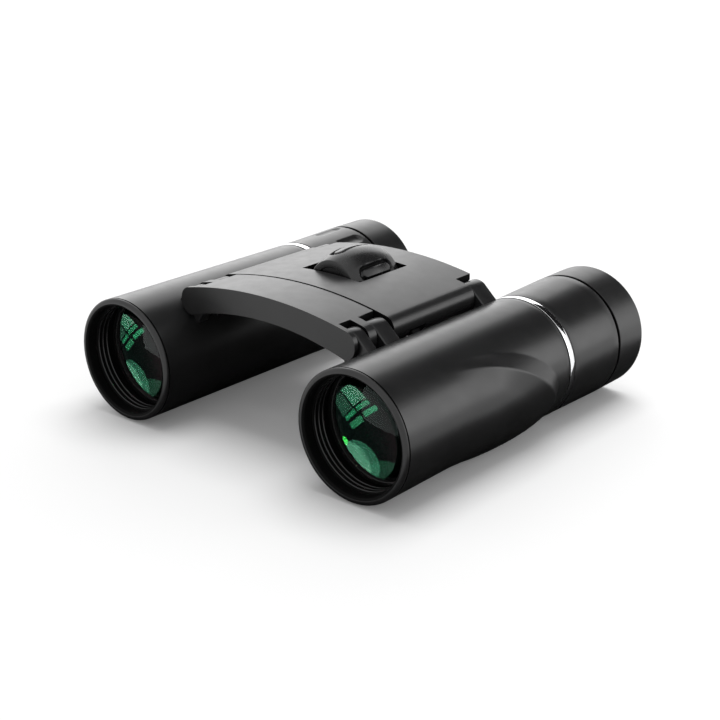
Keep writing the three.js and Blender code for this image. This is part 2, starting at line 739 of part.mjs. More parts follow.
function coverInside() {
  const bosses = bothSides((side) => screwRows.map((y) =>
    upright(bossRadius, plateTop(screwOffset) + padHeight + seatGap,
      innerTop(screwOffset) + sunk, side * screwOffset, y))).flat();
  const rodBlocks = bothSides((side) => {
    const x = side * rodOffset;
    const floor = plateTop(rodOffset - rodBlockHalf) + seatGap;
    const [y0, y1] = [rodRear - rodBlockHalf, rodRear + sunk];
    return block(x - rodBlockHalf, x + rodBlockHalf, y0, y1, floor, innerTop(rodOffset) + sunk);
  });
  return [...bosses, ...rodBlocks];
}

const rodHeight = (innerTop(rodOffset) + plateTop(rodOffset)) / 2;
const bushSpans = [
  [coverFront + seatGap, cavityFront],
  [cavityRear, bridgeRear - bushInset],
];
const wheelSlot = (z0, z1, half) =>
  block(-half, half, wheelFront - wheelSlotGap, wheelRear + wheelSlotGap, z0, z1);

function rearCover() {
  const body = join(
    slab(bridgeOutline(), coverFront, bridgeRear),
    rod(bushRadius + spineWall, coverFront, cavityFront, 0, shaftHeight, midTurn),
    rod(bushRadius + spineWall, cavityRear, bridgeRear, 0, shaftHeight, midTurn),
  );
  const shell = cut(body, coverCavity(), ...bothSides(sleeveTunnel));
  const filled = join(shell, ...coverInside());
  const notches = bothSides((side) => earPocket(notchFront, bridgeRear + past, side)).flat();
  const [rodHoleFront, rodHoleRear] = [rodFront - runGap, rodRear + runGap];
  const rods = bothSides((side) =>
    rod(rodRadius + runGap, rodHoleFront, rodHoleRear, side * rodOffset, rodHeight));
  const bush = bushRadius + cementGap;
  const screwHoles = bothSides((side) => screwRows.map((y) =>
    upright(screwRadius + runGap, 0, screwTop + seatGap, side * screwOffset, y))).flat();
  return cut(
    filled, ...notches, ...rods, ...screwHoles, ...pinHoles(coverFront - past, notchFront + past),
    rod(bush, coverFront - past, cavityFront + past, 0, shaftHeight),
    rod(bush, cavityRear - past, bushSpans[1][1] + seatGap, 0, shaftHeight),
    wheelSlot(shaftHeight, far, wheelCrownRadius - wheelSlotTuck),
  );
}

const screwSeat = seatGap + bottomCentre
  + Math.sqrt(bottomArcRadius ** 2 - (screwOffset + screwHeadRadius) ** 2);
const screwTop = screwSeat + screwHeadHeight + screwLength;

function bottomPlate() {
  const half = cavityHalf - seatGap;
  const lean = Math.asin(half / bottomArcRadius);
  const [a0, a1] = [Math.PI / 2 - lean, Math.PI / 2 + lean];
  const outline = [
    ...arc(0, bottomCentre, bottomArcRadius, a1, a0, 6),
    ...arc(0, bottomCentre, bottomArcRadius + plateThickness, a0, a1, 6),
  ];
  const [y0, y1] = [cavityFront + seatGap, cavityRear - seatGap];
  const channel = nutRadius + troughPlay;
  const spineRadius = channel + spineWall;
  const brim = bottomCrown + plateThickness / 2;
  const rise = Math.asin((brim - shaftHeight) / spineRadius);
  const spine = slab(arc(0, shaftHeight, spineRadius, -Math.PI - rise, rise, 8), y0, y1);
  const nutEnd = carriageFront + nutLength + focusTravel + seatGap;
  const headTop = screwSeat + screwHeadHeight + runGap;
  const eachScrew = (make) =>
    bothSides((side) => screwRows.map((y) => make(side * screwOffset, y))).flat();
  const padTop = plateTop(screwOffset) + padHeight;
  const pads = eachScrew((x, y) =>
    upright(bossRadius, padTop - padHeight - plateThickness / 2, padTop, x, y));
  return cut(
    join(slab(outline, y0, y1), spine, ...pads),
    rod(channel, y0 - past, nutEnd, 0, shaftHeight, midTurn),
    rod(shaftRadius + seatGap, y0 - past, y1 + past, 0, shaftHeight),
    wheelSlot(-far, far, wheelCrownRadius + seatGap),
    ...eachScrew((x, y) => upright(screwRadius + runGap, 0, far, x, y)),
    ...eachScrew((x, y) => upright(screwHeadRadius + runGap, 0, headTop, x, y)),
    ...bothSides((side) => earSweep(notchFront, bridgeRear, side)).flat(),
  );
}

function plateScrew(x, y) {
  const head = screwSeat + screwHeadHeight;
  return join(
    upright(screwHeadRadius, screwSeat, head, x, y),
    upright(screwRadius, head - screwHeadHeight / 2, screwTop, x, y),
  );
}

// ---- focus drive -------------------------------------------------------------------------
function focusWheel() {
  const half = (wheelRear - wheelFront) / 2;
  const crown = steps(-1, 1, 6).map((t) => [
    wheelEndRadius + (wheelCrownRadius - wheelEndRadius) * (1 - t * t),
    wheelFront + half + t * (half - wheelChamfer),
  ]);
  const bore = shaftRadius + cementGap;
  const body = turned([
    [bore, wheelFront],
    [wheelEndRadius - wheelChamfer, wheelFront],
    ...crown,
    [wheelEndRadius - wheelChamfer, wheelRear],
    [bore, wheelRear],
  ], midTurn, 0, shaftHeight);
  const dents = steps(0, wheelDents - 1, wheelDents - 1).map((i) => {
    const angle = wheelDentAngle + (i * 2 * Math.PI) / wheelDents;
    const straight = wheelDentLength - 2 * wheelDentRadius;
    const capsule = new THREE.CapsuleGeometry(wheelDentRadius, straight, 2, 8);
    capsule.translate(wheelCrownRadius + wheelDentRadius - wheelDentDepth, wheelFront + half, 0);
    return solidOf(capsule.rotateY(-angle).translate(0, 0, shaftHeight));
  });
  return cut(body, ...dents);
}

const shaftBush = ([y0, y1]) =>
  ring(shaftRadius + runGap, bushRadius, y0, y1, 0, shaftHeight, smallTurn);
const focusShaft = () => rod(shaftRadius, bushSpans[0][0], bushSpans[1][1], 0, shaftHeight);

// The carriage: a curved bar with the nut in its middle and a fork at each end.
function focusCarriage() {
  const [y0, y1] = [carriageFront, carriageFront + carriageLength];
  const reach = pinX + forkReach;
  const [lowRadius, highRadius] = [
    bottomArcRadius + plateThickness + seatGap,
    topArcRadius - coverWall - seatGap,
  ];
  const [low, high] = [Math.asin(pinX / lowRadius), Math.asin(reach / highRadius)];
  const quarter = Math.PI / 2;
  const bar = slab([
    ...arc(0, bottomCentre, lowRadius, quarter + low, quarter - low, 6),
    ...arc(0, topCentre, highRadius, quarter - high, quarter + high, 6),
  ], y0, y1);
  const jaw = tunnelRadius - seatGap / 2;
  const ends = bothSides((side) => rod(jaw, y0, y1, side * pinX, pinRise));
  const nut = rod(nutRadius, y0, y0 + nutLength, 0, shaftHeight);
  const [before, behind] = [y0 - past, y1 + past];
  const across = (x0, x1, z0, z1, side) =>
    slab(sideways([[x0, z0], [x1, z0], [x1, z1], [x0, z1]], side), before, behind);
  const grooves = bothSides((side) => {
    const slot = pinRadius + runGap + sleeveWall + runGap;
    return [
      rod(slot, before, behind, side * pinX, pinRise),
      across(pinX, pinX + far, pinRise - slot, pinRise + slot, side),
      across(reach, far, -far, far, side),
    ];
  }).flat();
  const holes = bothSides((side) =>
    rod(rodRadius + runGap, before, behind, side * rodOffset, rodHeight));
  return cut(
    join(bar, nut, ...ends), ...grooves, ...holes,
    rod(shaftRadius + runGap, before, y0 + nutLength + past, 0, shaftHeight),
  );
}

// ---- assembly ----------------------------------------------------------------------------
const finishes = {
  shell: { color: 0x1b1b1c, roughness: 0.42, metalness: 0 },
  inner: { color: 0x101011, roughness: 0.7, metalness: 0 },
  chrome: { color: 0xe9ebee, roughness: 0.08, metalness: 1 },
  steel: { color: 0x9a9da1, roughness: 0.35, metalness: 1 },
  brass: { color: 0xb08d4a, roughness: 0.4, metalness: 1 },
  coated: { color: 0x0d5a3c, roughness: 0.03, metalness: 0.2, transparent: true, opacity: 0.6 },
  glass: { color: 0xdfe9ea, roughness: 0.02, metalness: 0, transparent: true, opacity: 0.4 },
};

function addPiece(group, name, solid, finish) {
  const mesh = new THREE.Mesh(geometryOf(solid), new THREE.MeshStandardMaterial(finishes[finish]));
  mesh.name = name;
  group.add(mesh);
}

function barrel(side, name, sleeveName, sleeveSolid) {
  const group = new THREE.Group();
  group.position.x = (side * axisSpacing) / 2;
  group.scale.x = side;
  const add = (piece, solid, finish) => addPiece(group, `${name}_${piece}`, solid, finish);
  add("barrel_tube", barrelTube(), "shell");
  add("front_baffle", frontBaffle(), "inner");
  add("objective_cell", objectiveCell(), "inner");
  add("objective_retainer", objectiveRetainer(), "inner");
  add("objective_crown_lens", objectiveCrown(), "coated");
  add("objective_flint_lens", objectiveFlint(), "coated");
  add("prism_cage", prismCage(), "inner");
  add("entry_prism", prismEntry(), "glass");
  add("roof_prism", prismRoof(), "glass");
  add("eyepiece_housing", eyepieceHousing(), "inner");
  add("chrome_ring", chromeRing(), "chrome");
  add(sleeveName, sleeveSolid, "shell");
  add("eyepiece_cell", eyepieceCell(), "inner");
  add("field_lens", fieldLens(), "glass");
  add("eye_lens", eyeLens(), "coated");
  add("eyecup", eyecup(), "shell");
  return group;
}

function bridge() {
  const group = new THREE.Group();
  const add = (piece, solid, finish) => addPiece(group, piece, solid, finish);
  add("bridge_front_strip", frontStrip(), "shell");
  add("bridge_rear_cover", rearCover(), "shell");
  add("bridge_bottom_plate", bottomPlate(), "shell");
  add("focus_wheel", focusWheel(), "shell");
  add("focus_screw", focusShaft(), "steel");
  add("front_shaft_bush", shaftBush(bushSpans[0]), "brass");
  add("rear_shaft_bush", shaftBush(bushSpans[1]), "brass");
  add("focus_carriage", focusCarriage(), "steel");
  for (const [side, name] of [[1, "left"], [-1, "right"]]) {
    const pin = rod(pinRadius, pinFront, bridgeRear - seatGap, side * pinX, pinRise);
    const guideRod = rod(rodRadius, rodFront, rodRear, side * rodOffset, rodHeight);
    add(`${name}_hinge_pin`, pin, "steel");
    add(`${name}_guide_rod`, guideRod, "steel");
    screwRows.forEach((y, row) => {
      const place = ["front", "rear"][row];
      add(`${name}_${place}_plate_screw`, plateScrew(side * screwOffset, y), "steel");
    });
  }
  return group;
}

const binoculars = new THREE.Group();
binoculars.position.set(0, -overallLength / 2, axisHeight);
binoculars.add(
  barrel(1, "left", "rear_sleeve", rearSleeve()),
  barrel(-1, "right", "dioptre_ring", dioptreRing()),
  bridge(),
);

export default binoculars;
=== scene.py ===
# %% [markdown]
# # Folding pocket binoculars
#
# The engineering model of the binoculars is already packed: every moving body has its place, its
# joint and its true size. This lesson dresses it. Each plain solid that shows is replaced by a
# finer piece that sits exactly where the solid sits, and each one that stays gets a finish.
# Blender works in metres here, with Z up, the objectives towards -Y and the eyepieces towards +Y.

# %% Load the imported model
import json
import math

import bmesh
import bpy
from mathutils import Matrix, Vector


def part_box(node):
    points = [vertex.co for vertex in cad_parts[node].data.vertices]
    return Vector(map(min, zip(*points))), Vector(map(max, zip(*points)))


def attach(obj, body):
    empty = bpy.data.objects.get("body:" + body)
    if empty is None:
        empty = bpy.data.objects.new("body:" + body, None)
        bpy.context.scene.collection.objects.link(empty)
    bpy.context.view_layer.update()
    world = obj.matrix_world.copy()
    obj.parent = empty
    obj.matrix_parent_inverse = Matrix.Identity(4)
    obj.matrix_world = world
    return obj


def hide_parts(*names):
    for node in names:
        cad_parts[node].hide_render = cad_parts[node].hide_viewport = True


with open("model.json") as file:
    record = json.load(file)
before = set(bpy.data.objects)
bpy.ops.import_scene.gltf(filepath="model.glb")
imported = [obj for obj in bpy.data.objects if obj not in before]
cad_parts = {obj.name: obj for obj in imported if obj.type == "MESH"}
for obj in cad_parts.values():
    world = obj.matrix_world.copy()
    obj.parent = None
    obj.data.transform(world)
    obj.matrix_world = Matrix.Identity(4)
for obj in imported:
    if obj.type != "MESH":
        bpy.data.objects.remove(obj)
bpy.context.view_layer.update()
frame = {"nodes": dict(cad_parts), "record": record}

rides_on = {node: body for body, nodes in frame["record"]["behaviour"]["bodies"].items()
            for node in nodes}

# %% [markdown]
# ## Where things are
#
# The pieces are drawn in millimetres, because that is how such an instrument is thought of. A
# barrel is drawn about its own axis, with y counted back from its front rim, and the bridge about
# the middle plane at the same height. One matrix then carries a drawing to its place in metres.
# The places themselves are read from the boxes of the solids, so nothing is measured twice.

# %% Read the places from the solids
MM = 0.001
cup_low, cup_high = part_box("left_eyecup")
AXIS_X = (cup_low.x + cup_high.x) / 2
AXIS_Z = (cup_low.z + cup_high.z) / 2
FRONT_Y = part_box("left_barrel_tube")[0].y


def millimetres(node):
    """Where a left-hand solid starts and ends along the barrel, and how far out it reaches."""
    low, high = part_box(node)
    return (low.y - FRONT_Y) / MM, (high.y - FRONT_Y) / MM, (high.x - AXIS_X) / MM


def placed(x, mirror=1):
    return Matrix.Translation((x, FRONT_Y, AXIS_Z)) @ Matrix.Diagonal((mirror * MM, MM, MM, 1))


def barrel_place(side):
    """From a barrel's drawing to its place: side is 1 for the left barrel and -1 for the right."""
    return placed(side * AXIS_X, side)


BRIDGE_PLACE = placed(0)
SIDES = ((1, "left"), (-1, "right"))
print(f"barrel axes {2 * AXIS_X / MM:.1f} mm apart, {AXIS_Z / MM:.2f} mm above the table")

# %% [markdown]
# ## From a drawing to an object
#
# Every shape is drawn as a bmesh, Blender's editable mesh. To show it, the drawing is written to
# a mesh, and an object that holds the mesh is linked to the scene.

# %% Helper for objects
def object_from(bm, name):
    """Turn a drawing into an object and let the drawing go."""
    mesh = bpy.data.meshes.new(name)
    bm.to_mesh(mesh)
    bm.free()
    made = bpy.data.objects.new(name, mesh)
    bpy.context.scene.collection.objects.link(made)
    return made


# %% [markdown]
# ## The camera
#
# The camera stands about a third of a metre away, to the front and to the left-hand user's side,
# and looks down by some twenty degrees. It is set from three angles, because a yaw, a pitch and
# a roll are easier to check by eye than the numbers of a rotation matrix. The lens is a short
# telephoto, as for most small goods, so the two barrels keep nearly the same size.

# %% Make the camera
yaw, pitch, roll = math.radians(40.54), math.radians(20.63), math.radians(-0.3)
back = Vector((math.sin(yaw) * math.cos(pitch), -math.cos(yaw) * math.cos(pitch), math.sin(pitch)))
level = Vector((math.cos(yaw), math.sin(yaw), 0))
upright = back.cross(level)
right = math.cos(roll) * level + math.sin(roll) * upright
up = math.cos(roll) * upright - math.sin(roll) * level

camera = bpy.data.objects.new("camera", bpy.data.cameras.new("camera"))
camera.data.lens = 71.0
camera.data.sensor_width = 36
camera.data.clip_start = 0.01
camera.matrix_world = Matrix((right, up, back)).transposed().to_4x4()
camera.location = (0.2088, -0.2455, 0.1319)
bpy.context.scene.collection.objects.link(camera)
bpy.context.scene.camera = camera
bpy.context.scene.view_settings.view_transform = "Standard"
print(f"camera {camera.location.length:.3f} m from the middle of the foot")

# %% [markdown]
# ## Node helpers
#
# A finish is a small network of nodes. The same few steps come back in each of them, so they get
# a name: make a material with its shader, set the plain numbers on the shader's own sockets, and
# add a noise that is read in the object's own coordinates, where one unit is one metre.

# %% Helpers for materials
MIDDLE = (0.3, 0.7)  # most of a noise's values lie between these


def add_node(tree, kind, feeds=(), **plain):
    """A node with some plain values; feeds holds pairs of one of its inputs and what feeds it."""
    node = tree.nodes.new("ShaderNode" + kind)
    for socket, value in plain.items():
        node.inputs[socket.replace("_", " ")].default_value = value
    for socket, source in feeds:
        tree.links.new(source, node.inputs[socket])
    return node


def new_finish(name, **plain):
    """A material with one Principled shader, whose plain values are set by socket name."""
    material = bpy.data.materials.new(name)
    material.use_nodes = True
    tree = material.node_tree
    tree.nodes.clear()
    shader = add_node(tree, "BsdfPrincipled", **plain)
    add_node(tree, "OutputMaterial", [("Surface", shader.outputs["BSDF"])])
    return material, tree, shader


def noise(tree, grain_mm, detail=2.0, stretch=(1, 1, 1)):
    """Noise whose lumps are about grain_mm wide, in object coordinates."""
    coordinates = add_node(tree, "TexCoord")
    mapping = add_node(tree, "Mapping", [("Vector", coordinates.outputs["Object"])], Scale=stretch)
    lumps = add_node(tree, "TexNoise", [("Vector", mapping.outputs["Vector"])],
                     Scale=1 / (grain_mm * MM), Detail=detail)
    return lumps.outputs["Fac"]


def spread(tree, source, low, high, target):
    """Map the middle of a noise onto the range from low to high and feed a socket with it."""
    mapped = add_node(tree, "MapRange", [("Value", source)],
                      From_Min=MIDDLE[0], From_Max=MIDDLE[1], To_Min=low, To_Max=high)
    tree.links.new(mapped.outputs["Result"], target)


def tint(tree, source, dark, light, target):
    """Colour that drifts between two close tones."""
    ramp = add_node(tree, "ValToRGB", [("Fac", source)])
    for element, position, colour in zip(ramp.color_ramp.elements, MIDDLE, (dark, light)):
        element.position, element.color = position, (*colour, 1)
    tree.links.new(ramp.outputs["Color"], target)


def roughen(tree, shader, source, depth_mm, strength):
    """Bump from a noise, with the depth of the real grain."""
    bump = add_node(tree, "Bump", [("Height", source)], Strength=strength, Distance=depth_mm * MM)
    tree.links.new(bump.outputs["Normal"], shader.inputs["Normal"])


# %% [markdown]
# ## Satin black plastic
#
# The shells are moulded in black plastic with a fine satin grain. Nothing real is one flat black:
# the tone drifts a little over centimetres, the gloss changes where the mould was polished, and
# the grain itself is about a tenth of a millimetre wide. The grain goes into the bump, where it
# breaks up the reflections, and the slow drift goes into the colour and the roughness.

# %% Black finishes
def satin_black(name, dark, light, roughness, grain_mm=0.12, grain_strength=0.25, gloss=0.5):
    material, tree, shader = new_finish(name, IOR=1.5, Specular_IOR_Level=gloss)
    drift = noise(tree, 14, detail=4)
    tint(tree, drift, dark, light, shader.inputs["Base Color"])
    patches = noise(tree, 3, detail=5)
    spread(tree, patches, roughness - 0.025, roughness + 0.025, shader.inputs["Roughness"])
    roughen(tree, shader, noise(tree, grain_mm), 0.01, grain_strength)
    return material


barrel_black = satin_black("barrel satin", (0.0085, 0.0085, 0.0088), (0.0115, 0.0115, 0.0118), 0.30)
bridge_black = satin_black("bridge satin", (0.0105, 0.0105, 0.0108), (0.0140, 0.0140, 0.0143), 0.33)
cup_black = satin_black("eyecup satin", (0.0085, 0.0085, 0.0088), (0.0115, 0.0115, 0.0118), 0.33)
wheel_black = satin_black("wheel satin", (0.0080, 0.0080, 0.0083), (0.0110, 0.0110, 0.0113), 0.28)
flocked_black = satin_black("flocked bore", (0.0030, 0.0030, 0.0030), (0.0055, 0.0055, 0.0058),
                            0.55, grain_mm=0.2, grain_strength=0.5, gloss=0.1)
# Painted shade: a near-black copy of the satin for slot walls, grooves, recesses and the insides of
# tubes, where shade falls.
painted_shade_black = satin_black("painted shade black", (0.0016, 0.0016, 0.0016), (0.0028, 0.0028, 0.0029), 0.60,
                         gloss=0.08)
ridge_black = satin_black("ridged bore", (0.0100, 0.0100, 0.0104), (0.0150, 0.0150, 0.0154), 0.25)
print("black finishes:", [m.name for m in (barrel_black, bridge_black, cup_black, wheel_black,
                                           flocked_black, painted_shade_black, ridge_black)])

# %% [markdown]
# ## Metals
#
# Three metals are used. The narrow ring behind each tube is polished chrome with hair-fine lines
# from the polishing wheel, the pins, rods and screws are turned steel, and the two bushes round
# the focusing screw are brass. The turning marks are a noise that is stretched round the axis: it
# changes quickly along Y and slowly across it.

# %% Metal finishes
def turned_metal(name, dark, light, roughness, marks_mm, strength):
    material, tree, shader = new_finish(name, Metallic=1.0)
    marks = noise(tree, marks_mm, detail=3, stretch=(0.05, 1, 0.05))
    tint(tree, marks, dark, light, shader.inputs["Base Color"])
    wear = noise(tree, 2, detail=4)
    spread(tree, wear, roughness * 0.85, roughness * 1.2, shader.inputs["Roughness"])
    roughen(tree, shader, marks, 0.004, strength)
    return material


chrome = turned_metal("polished chrome", (0.86, 0.87, 0.88), (0.93, 0.93, 0.94), 0.09, 0.1, 0.1)
steel = turned_metal("turned steel", (0.46, 0.47, 0.48), (0.60, 0.61, 0.62), 0.32, 0.15, 0.4)
brass = turned_metal("turned brass", (0.60, 0.44, 0.20), (0.74, 0.57, 0.30), 0.35, 0.15, 0.4)

# %% [markdown]
# ## Glass
#
# A coated lens lets almost all light in, so its front face hardly reflects. What one sees is the
# green mirror image on the face behind it, before the dark tube. A Principled shader does both by
# itself, with full transmission and a specular tint: a weak grey one for the front glass, and a
# strong green one for the glass behind it. That glass's near-black body colour is painted shade,
# which stands for the dark of the tube. The prisms and the inner lenses are plain clear glass. A
# trace of noise in the roughness stands for the last polish and a breath of dust.

# %% Glass finishes
def lens_glass(name, body, reflection, roughness=0.012, ior=1.5):
    material, tree, shader = new_finish(name, Base_Color=(*body, 1), IOR=ior,
                                        Transmission_Weight=1.0, Specular_IOR_Level=0.5,
                                        Specular_Tint=(*reflection, 1))
    dust = noise(tree, 4, detail=5)
    spread(tree, dust, roughness * 0.6, roughness * 1.4, shader.inputs["Roughness"])
    return material


CLEAR, GREEN, POLISH = (0.94, 0.97, 0.96), (0.16, 0.95, 0.50), 0.004
front_glass = lens_glass("front glass", CLEAR, (0.22, 0.32, 0.29), POLISH)
cement_glass = lens_glass("cement face", CLEAR, (0.01, 0.02, 0.02), POLISH)
# The near-black body colour is painted shade for the dark tube behind this glass.
mirror_glass = lens_glass("green mirror glass", (0.0020, 0.0032, 0.0027), GREEN, POLISH, ior=1.8)
coated_glass = lens_glass("coated glass", (0.30, 0.36, 0.33), GREEN)
clear_glass = lens_glass("clear glass", (0.93, 0.97, 0.96), (0.80, 0.90, 0.90))

# %% [markdown]
# ## The studio
#
# The floor and the background are plain white. The floor is a real white surface that takes the
# soft shadow, and a small share of its light is its own, for the rays that see it directly, so
# that it reaches paper white without more light on the object. That share grows far away, where
# the lamps no longer reach. The world is white for the same rays and dimmer for the rest.

# %% Floor and world
FLOOR_TONE, FLOOR_LIFT, FAR_LIFT, WORLD_FILL = 0.80, 0.08, 0.60, 0.58


def combined(tree, operation, first, second):
    """A Math node on two sources."""
    node = add_node(tree, "Math", [(0, first), (1, second)])
    node.operation = operation
    return node.outputs["Value"]


def seen_directly(tree):
    """1 for rays that see a surface directly, in a mirror or through glass, 0 for the others."""
    path = add_node(tree, "LightPath").outputs
    either = combined(tree, "MAXIMUM", path["Is Camera Ray"], path["Is Glossy Ray"])
    return combined(tree, "MAXIMUM", either, path["Is Transmission Ray"])


bm = bmesh.new()
bmesh.ops.create_grid(bm, x_segments=1, y_segments=1, size=4)
floor = object_from(bm, "floor")

paper, tree, shader = new_finish("white paper", Base_Color=(FLOOR_TONE,) * 3 + (1,), Roughness=1.0,
                                 Specular_IOR_Level=0.0, Emission_Color=(1, 1, 1, 1))
away = add_node(tree, "VectorMath", [(0, add_node(tree, "TexCoord").outputs["Object"])])
away.operation = "LENGTH"
far_lift = add_node(tree, "MapRange", [("Value", away.outputs["Value"])],
                    From_Min=0.25, From_Max=1.1, To_Min=FLOOR_LIFT, To_Max=FAR_LIFT)
far_lift.interpolation_type = "SMOOTHSTEP"
lift = combined(tree, "MULTIPLY", seen_directly(tree), far_lift.outputs["Result"])
tree.links.new(lift, shader.inputs["Emission Strength"])
floor.data.materials.append(paper)

world = bpy.data.worlds.new("studio")
bpy.context.scene.world = world
world.use_nodes = True
tree = world.node_tree
background = tree.nodes["Background"]
background.inputs["Color"].default_value = (1, 1, 1, 1)
level = add_node(tree, "MapRange", [("Value", seen_directly(tree))], To_Min=WORLD_FILL, To_Max=1.0)
tree.links.new(level.outputs["Result"], background.inputs["Strength"])
print("floor tone", FLOOR_TONE, "world fill", WORLD_FILL)

# %% [markdown]
# ## The lamps
#
# Black things show their shape by what they reflect, so the light is planned from the reflections.
# Three softboxes stand behind the table: a wide one to the left with a smaller one in its middle
# gives the long light areas on the tops, which fade towards their ends, and one to the right
# gives the light strip along each barrel's side. A fourth one almost overhead lights the floor and
# is kept out of the reflections. A place is given as a bearing, counted from straight behind
# towards the right, and a height above the table, because that is how one walks round a table
# with a lamp. The strength is the brightness of the lamp's face, where 1 is as bright as white
# paper in this light.

# %% Lamps
def towards(bearing, height):
    """Unit vector from the middle of the table."""
    b, h = math.radians(bearing), math.radians(height)
    return Vector((math.sin(b) * math.cos(h), math.cos(b) * math.cos(h), math.sin(h)))


def facing(bearing, height, distance, across=0.0, up=0.0, turn=0.0):
    """A place round the table that looks at the middle; across and up shift it in its own plane."""
    way = towards(bearing, height)
    return (Matrix.Translation(way * distance) @ way.to_track_quat("Z", "Y").to_matrix().to_4x4()
            @ Matrix.Rotation(math.radians(turn), 4, "Z") @ Matrix.Translation((across, up, 0)))


def softbox(name, place, size, brightness, shape="RECTANGLE"):
    """A flat lamp that the camera doesn't see; brightness is red, green and blue."""
    lamp = bpy.data.lights.new(name, "AREA")
    lamp.shape = shape
    lamp.size, lamp.size_y = size
    lamp.color = [part / max(brightness) for part in brightness]
    lamp.energy = max(brightness) * math.pi * size[0] * size[1]
    if shape == "ELLIPSE":
        lamp.energy *= math.pi / 4
    holder = bpy.data.objects.new(name, lamp)
    holder.matrix_world = place
    holder.visible_camera = False
    bpy.context.scene.collection.objects.link(holder)
    print(f"{name}: {lamp.energy:.1f} W")
    return holder


softbox("left softbox", facing(-39, 27, 1.2), (1.05, 1.00), (0.90,) * 3)
softbox("left inner softbox", facing(-49, 19, 1.2), (0.56, 0.62), (0.6,) * 3)
softbox("right softbox", facing(46, 14, 1.2), (0.52, 0.58), (1.65,) * 3)
softbox("back softbox", facing(5, 78, 1.1), (0.80, 0.80), (4.0,) * 3).visible_glossy = False

# %% [markdown]
# The lenses need lamps of their own. A curved lens mirrors the whole room, upside down and very
# small, and a window with four panes is what tells the eye that it is glass. So a dark curtain
# hangs all round, and in front of it stand a window with a bright panel and a dim one above it,
# two round softboxes that overlap, a dim one apart and a small green lamp. The curtain glows a
# faint red, which the green coating turns into a neutral dark grey. Light that has passed
# through glass sees them, and nothing else does: they add no light to the black shells. The
# hollow mirror behind the front glass turns the picture over, so the window stands low.

# %% Lamps for the lenses
def glass_lamp(*lamp):
    """A lamp that only light from inside glass sees."""
    holder = softbox(*lamp)
    holder.visible_diffuse = holder.visible_glossy = False


for name, across, up, size, brightness in (
        ("window pane 1", -0.232, 0.100, (0.250, 0.068), (1.1, 2.1, 1.7)),
        ("window pane 2", 0.084, 0.102, (0.300, 0.072), (1.1, 2.1, 1.7)),
        ("window pane 3", -0.205, -0.036, (0.285, 0.092), (1.4, 1.9, 1.6)),
        ("window pane 4", 0.155, -0.018, (0.325, 0.075), (1.0, 2.3, 1.8)),
        ("upper panel", 0.070, 0.410, (0.320, 0.492), (2.6, 2.2, 2.3)),
        ("side panel", -0.257, 0.388, (0.265, 0.460), (1.1, 0.75, 0.85))):
    glass_lamp(name, facing(189, -24, 0.8, across, up, turn=-140.5), size, brightness)
for name, bearing, height, size, brightness in (
        ("round softbox", 173, 36, (0.470, 0.600), (4.4, 2.0, 2.4)),
        ("second round softbox", 183, 33, (0.560, 0.640), (1.5, 1.3, 1.4)),
        ("dim softbox", 225, 38, (0.620, 0.520), (0.35, 0.45, 0.42)),
        ("green lamp", 162, 11, (0.085, 0.085), (5.0, 10.0, 2.6))):
    glass_lamp(name, facing(bearing, height, 0.6), size, brightness, "ELLIPSE")

bm = bmesh.new()
bmesh.ops.create_icosphere(bm, subdivisions=4, radius=1.6)
curtain = object_from(bm, "dark curtain")
curtain.visible_camera = curtain.visible_diffuse = False
curtain.visible_glossy = curtain.visible_shadow = False
dim_cloth, _, _ = new_finish("dim cloth", Base_Color=(0.002, 0.002, 0.002, 1), Roughness=1.0,
                             Specular_IOR_Level=0.0, Emission_Color=(0.20, 0.07, 0.11, 1),
                             Emission_Strength=1.0)
curtain.data.materials.append(dim_cloth)
floor.visible_transmission = False

# %% [markdown]
# A black card hangs between the softboxes, and a black mat lies under the binoculars. Only
# reflections see them: the card draws the dark band along the shoulder of each barrel, and the
# mat gives the barrels their dark undersides, which a white table would wash out.

# %% Black card and mat
def black_board(name, place, width, depth):
    """A black board that only reflections see."""
    bm = bmesh.new()
    bmesh.ops.create_grid(bm, x_segments=1, y_segments=1, size=0.5)
    bmesh.ops.scale(bm, vec=(width, depth, 1), verts=bm.verts)
    bmesh.ops.transform(bm, matrix=place, verts=bm.verts)
    board = object_from(bm, name)
    board.visible_camera = board.visible_diffuse = board.visible_shadow = False
    board.visible_transmission = False
    board.data.materials.append(flocked_black)


black_board("black card", facing(10, 44, 1.0), 0.78, 0.95)
black_board("black mat", Matrix.Translation((0.005, 0.012, 0.0002)), 0.150, 0.150)

# %% [markdown]
# ## Turned pieces
#
# Most of a binocular is round. A turned piece starts as the outline of its section, radius
# against distance along the barrel, and the spin operator carries that outline once round the
# axis. The last copy falls on the first, so the spin merges them. Where an outline touches the
# axis its copies meet in one point, so the doubles are merged before the normals are set.

# %% Helpers for turned pieces
FINE = 192


def spun(profile, steps=FINE, closed=True):
    """The closed outline of (radius, y) points, carried round the Y axis."""
    bm = bmesh.new()
    points = [bm.verts.new((radius, y, 0)) for radius, y in profile]
    pairs = list(zip(points, points[1:]))
    if closed:
        pairs.append((points[-1], points[0]))
    edges = [bm.edges.new(pair) for pair in pairs]
    bmesh.ops.spin(bm, geom=points + edges, cent=(0, 0, 0), axis=(0, 1, 0), angle=2 * math.pi,
                   steps=steps, use_merge=True)
    bmesh.ops.remove_doubles(bm, verts=bm.verts, dist=1e-4)
    return bm


def moved(bm, x=0, y=0, z=0):
    bmesh.ops.translate(bm, vec=(x, y, z), verts=bm.verts)
    return bm


def span(start, end, count):
    """Evenly spaced numbers from start to end, both included."""
    return [start + (end - start) * i / count for i in range(count + 1)]


def rounded(corner, radius_dir, y_dir, size, count=4):
    """A quarter round for a section's corner, from the side that runs along Y to the end face."""
    radius, y = corner
    return [(radius + radius_dir * size * (1 - math.cos(a)), y + y_dir * size * (1 - math.sin(a)))
            for a in span(0, math.pi / 2, count)]


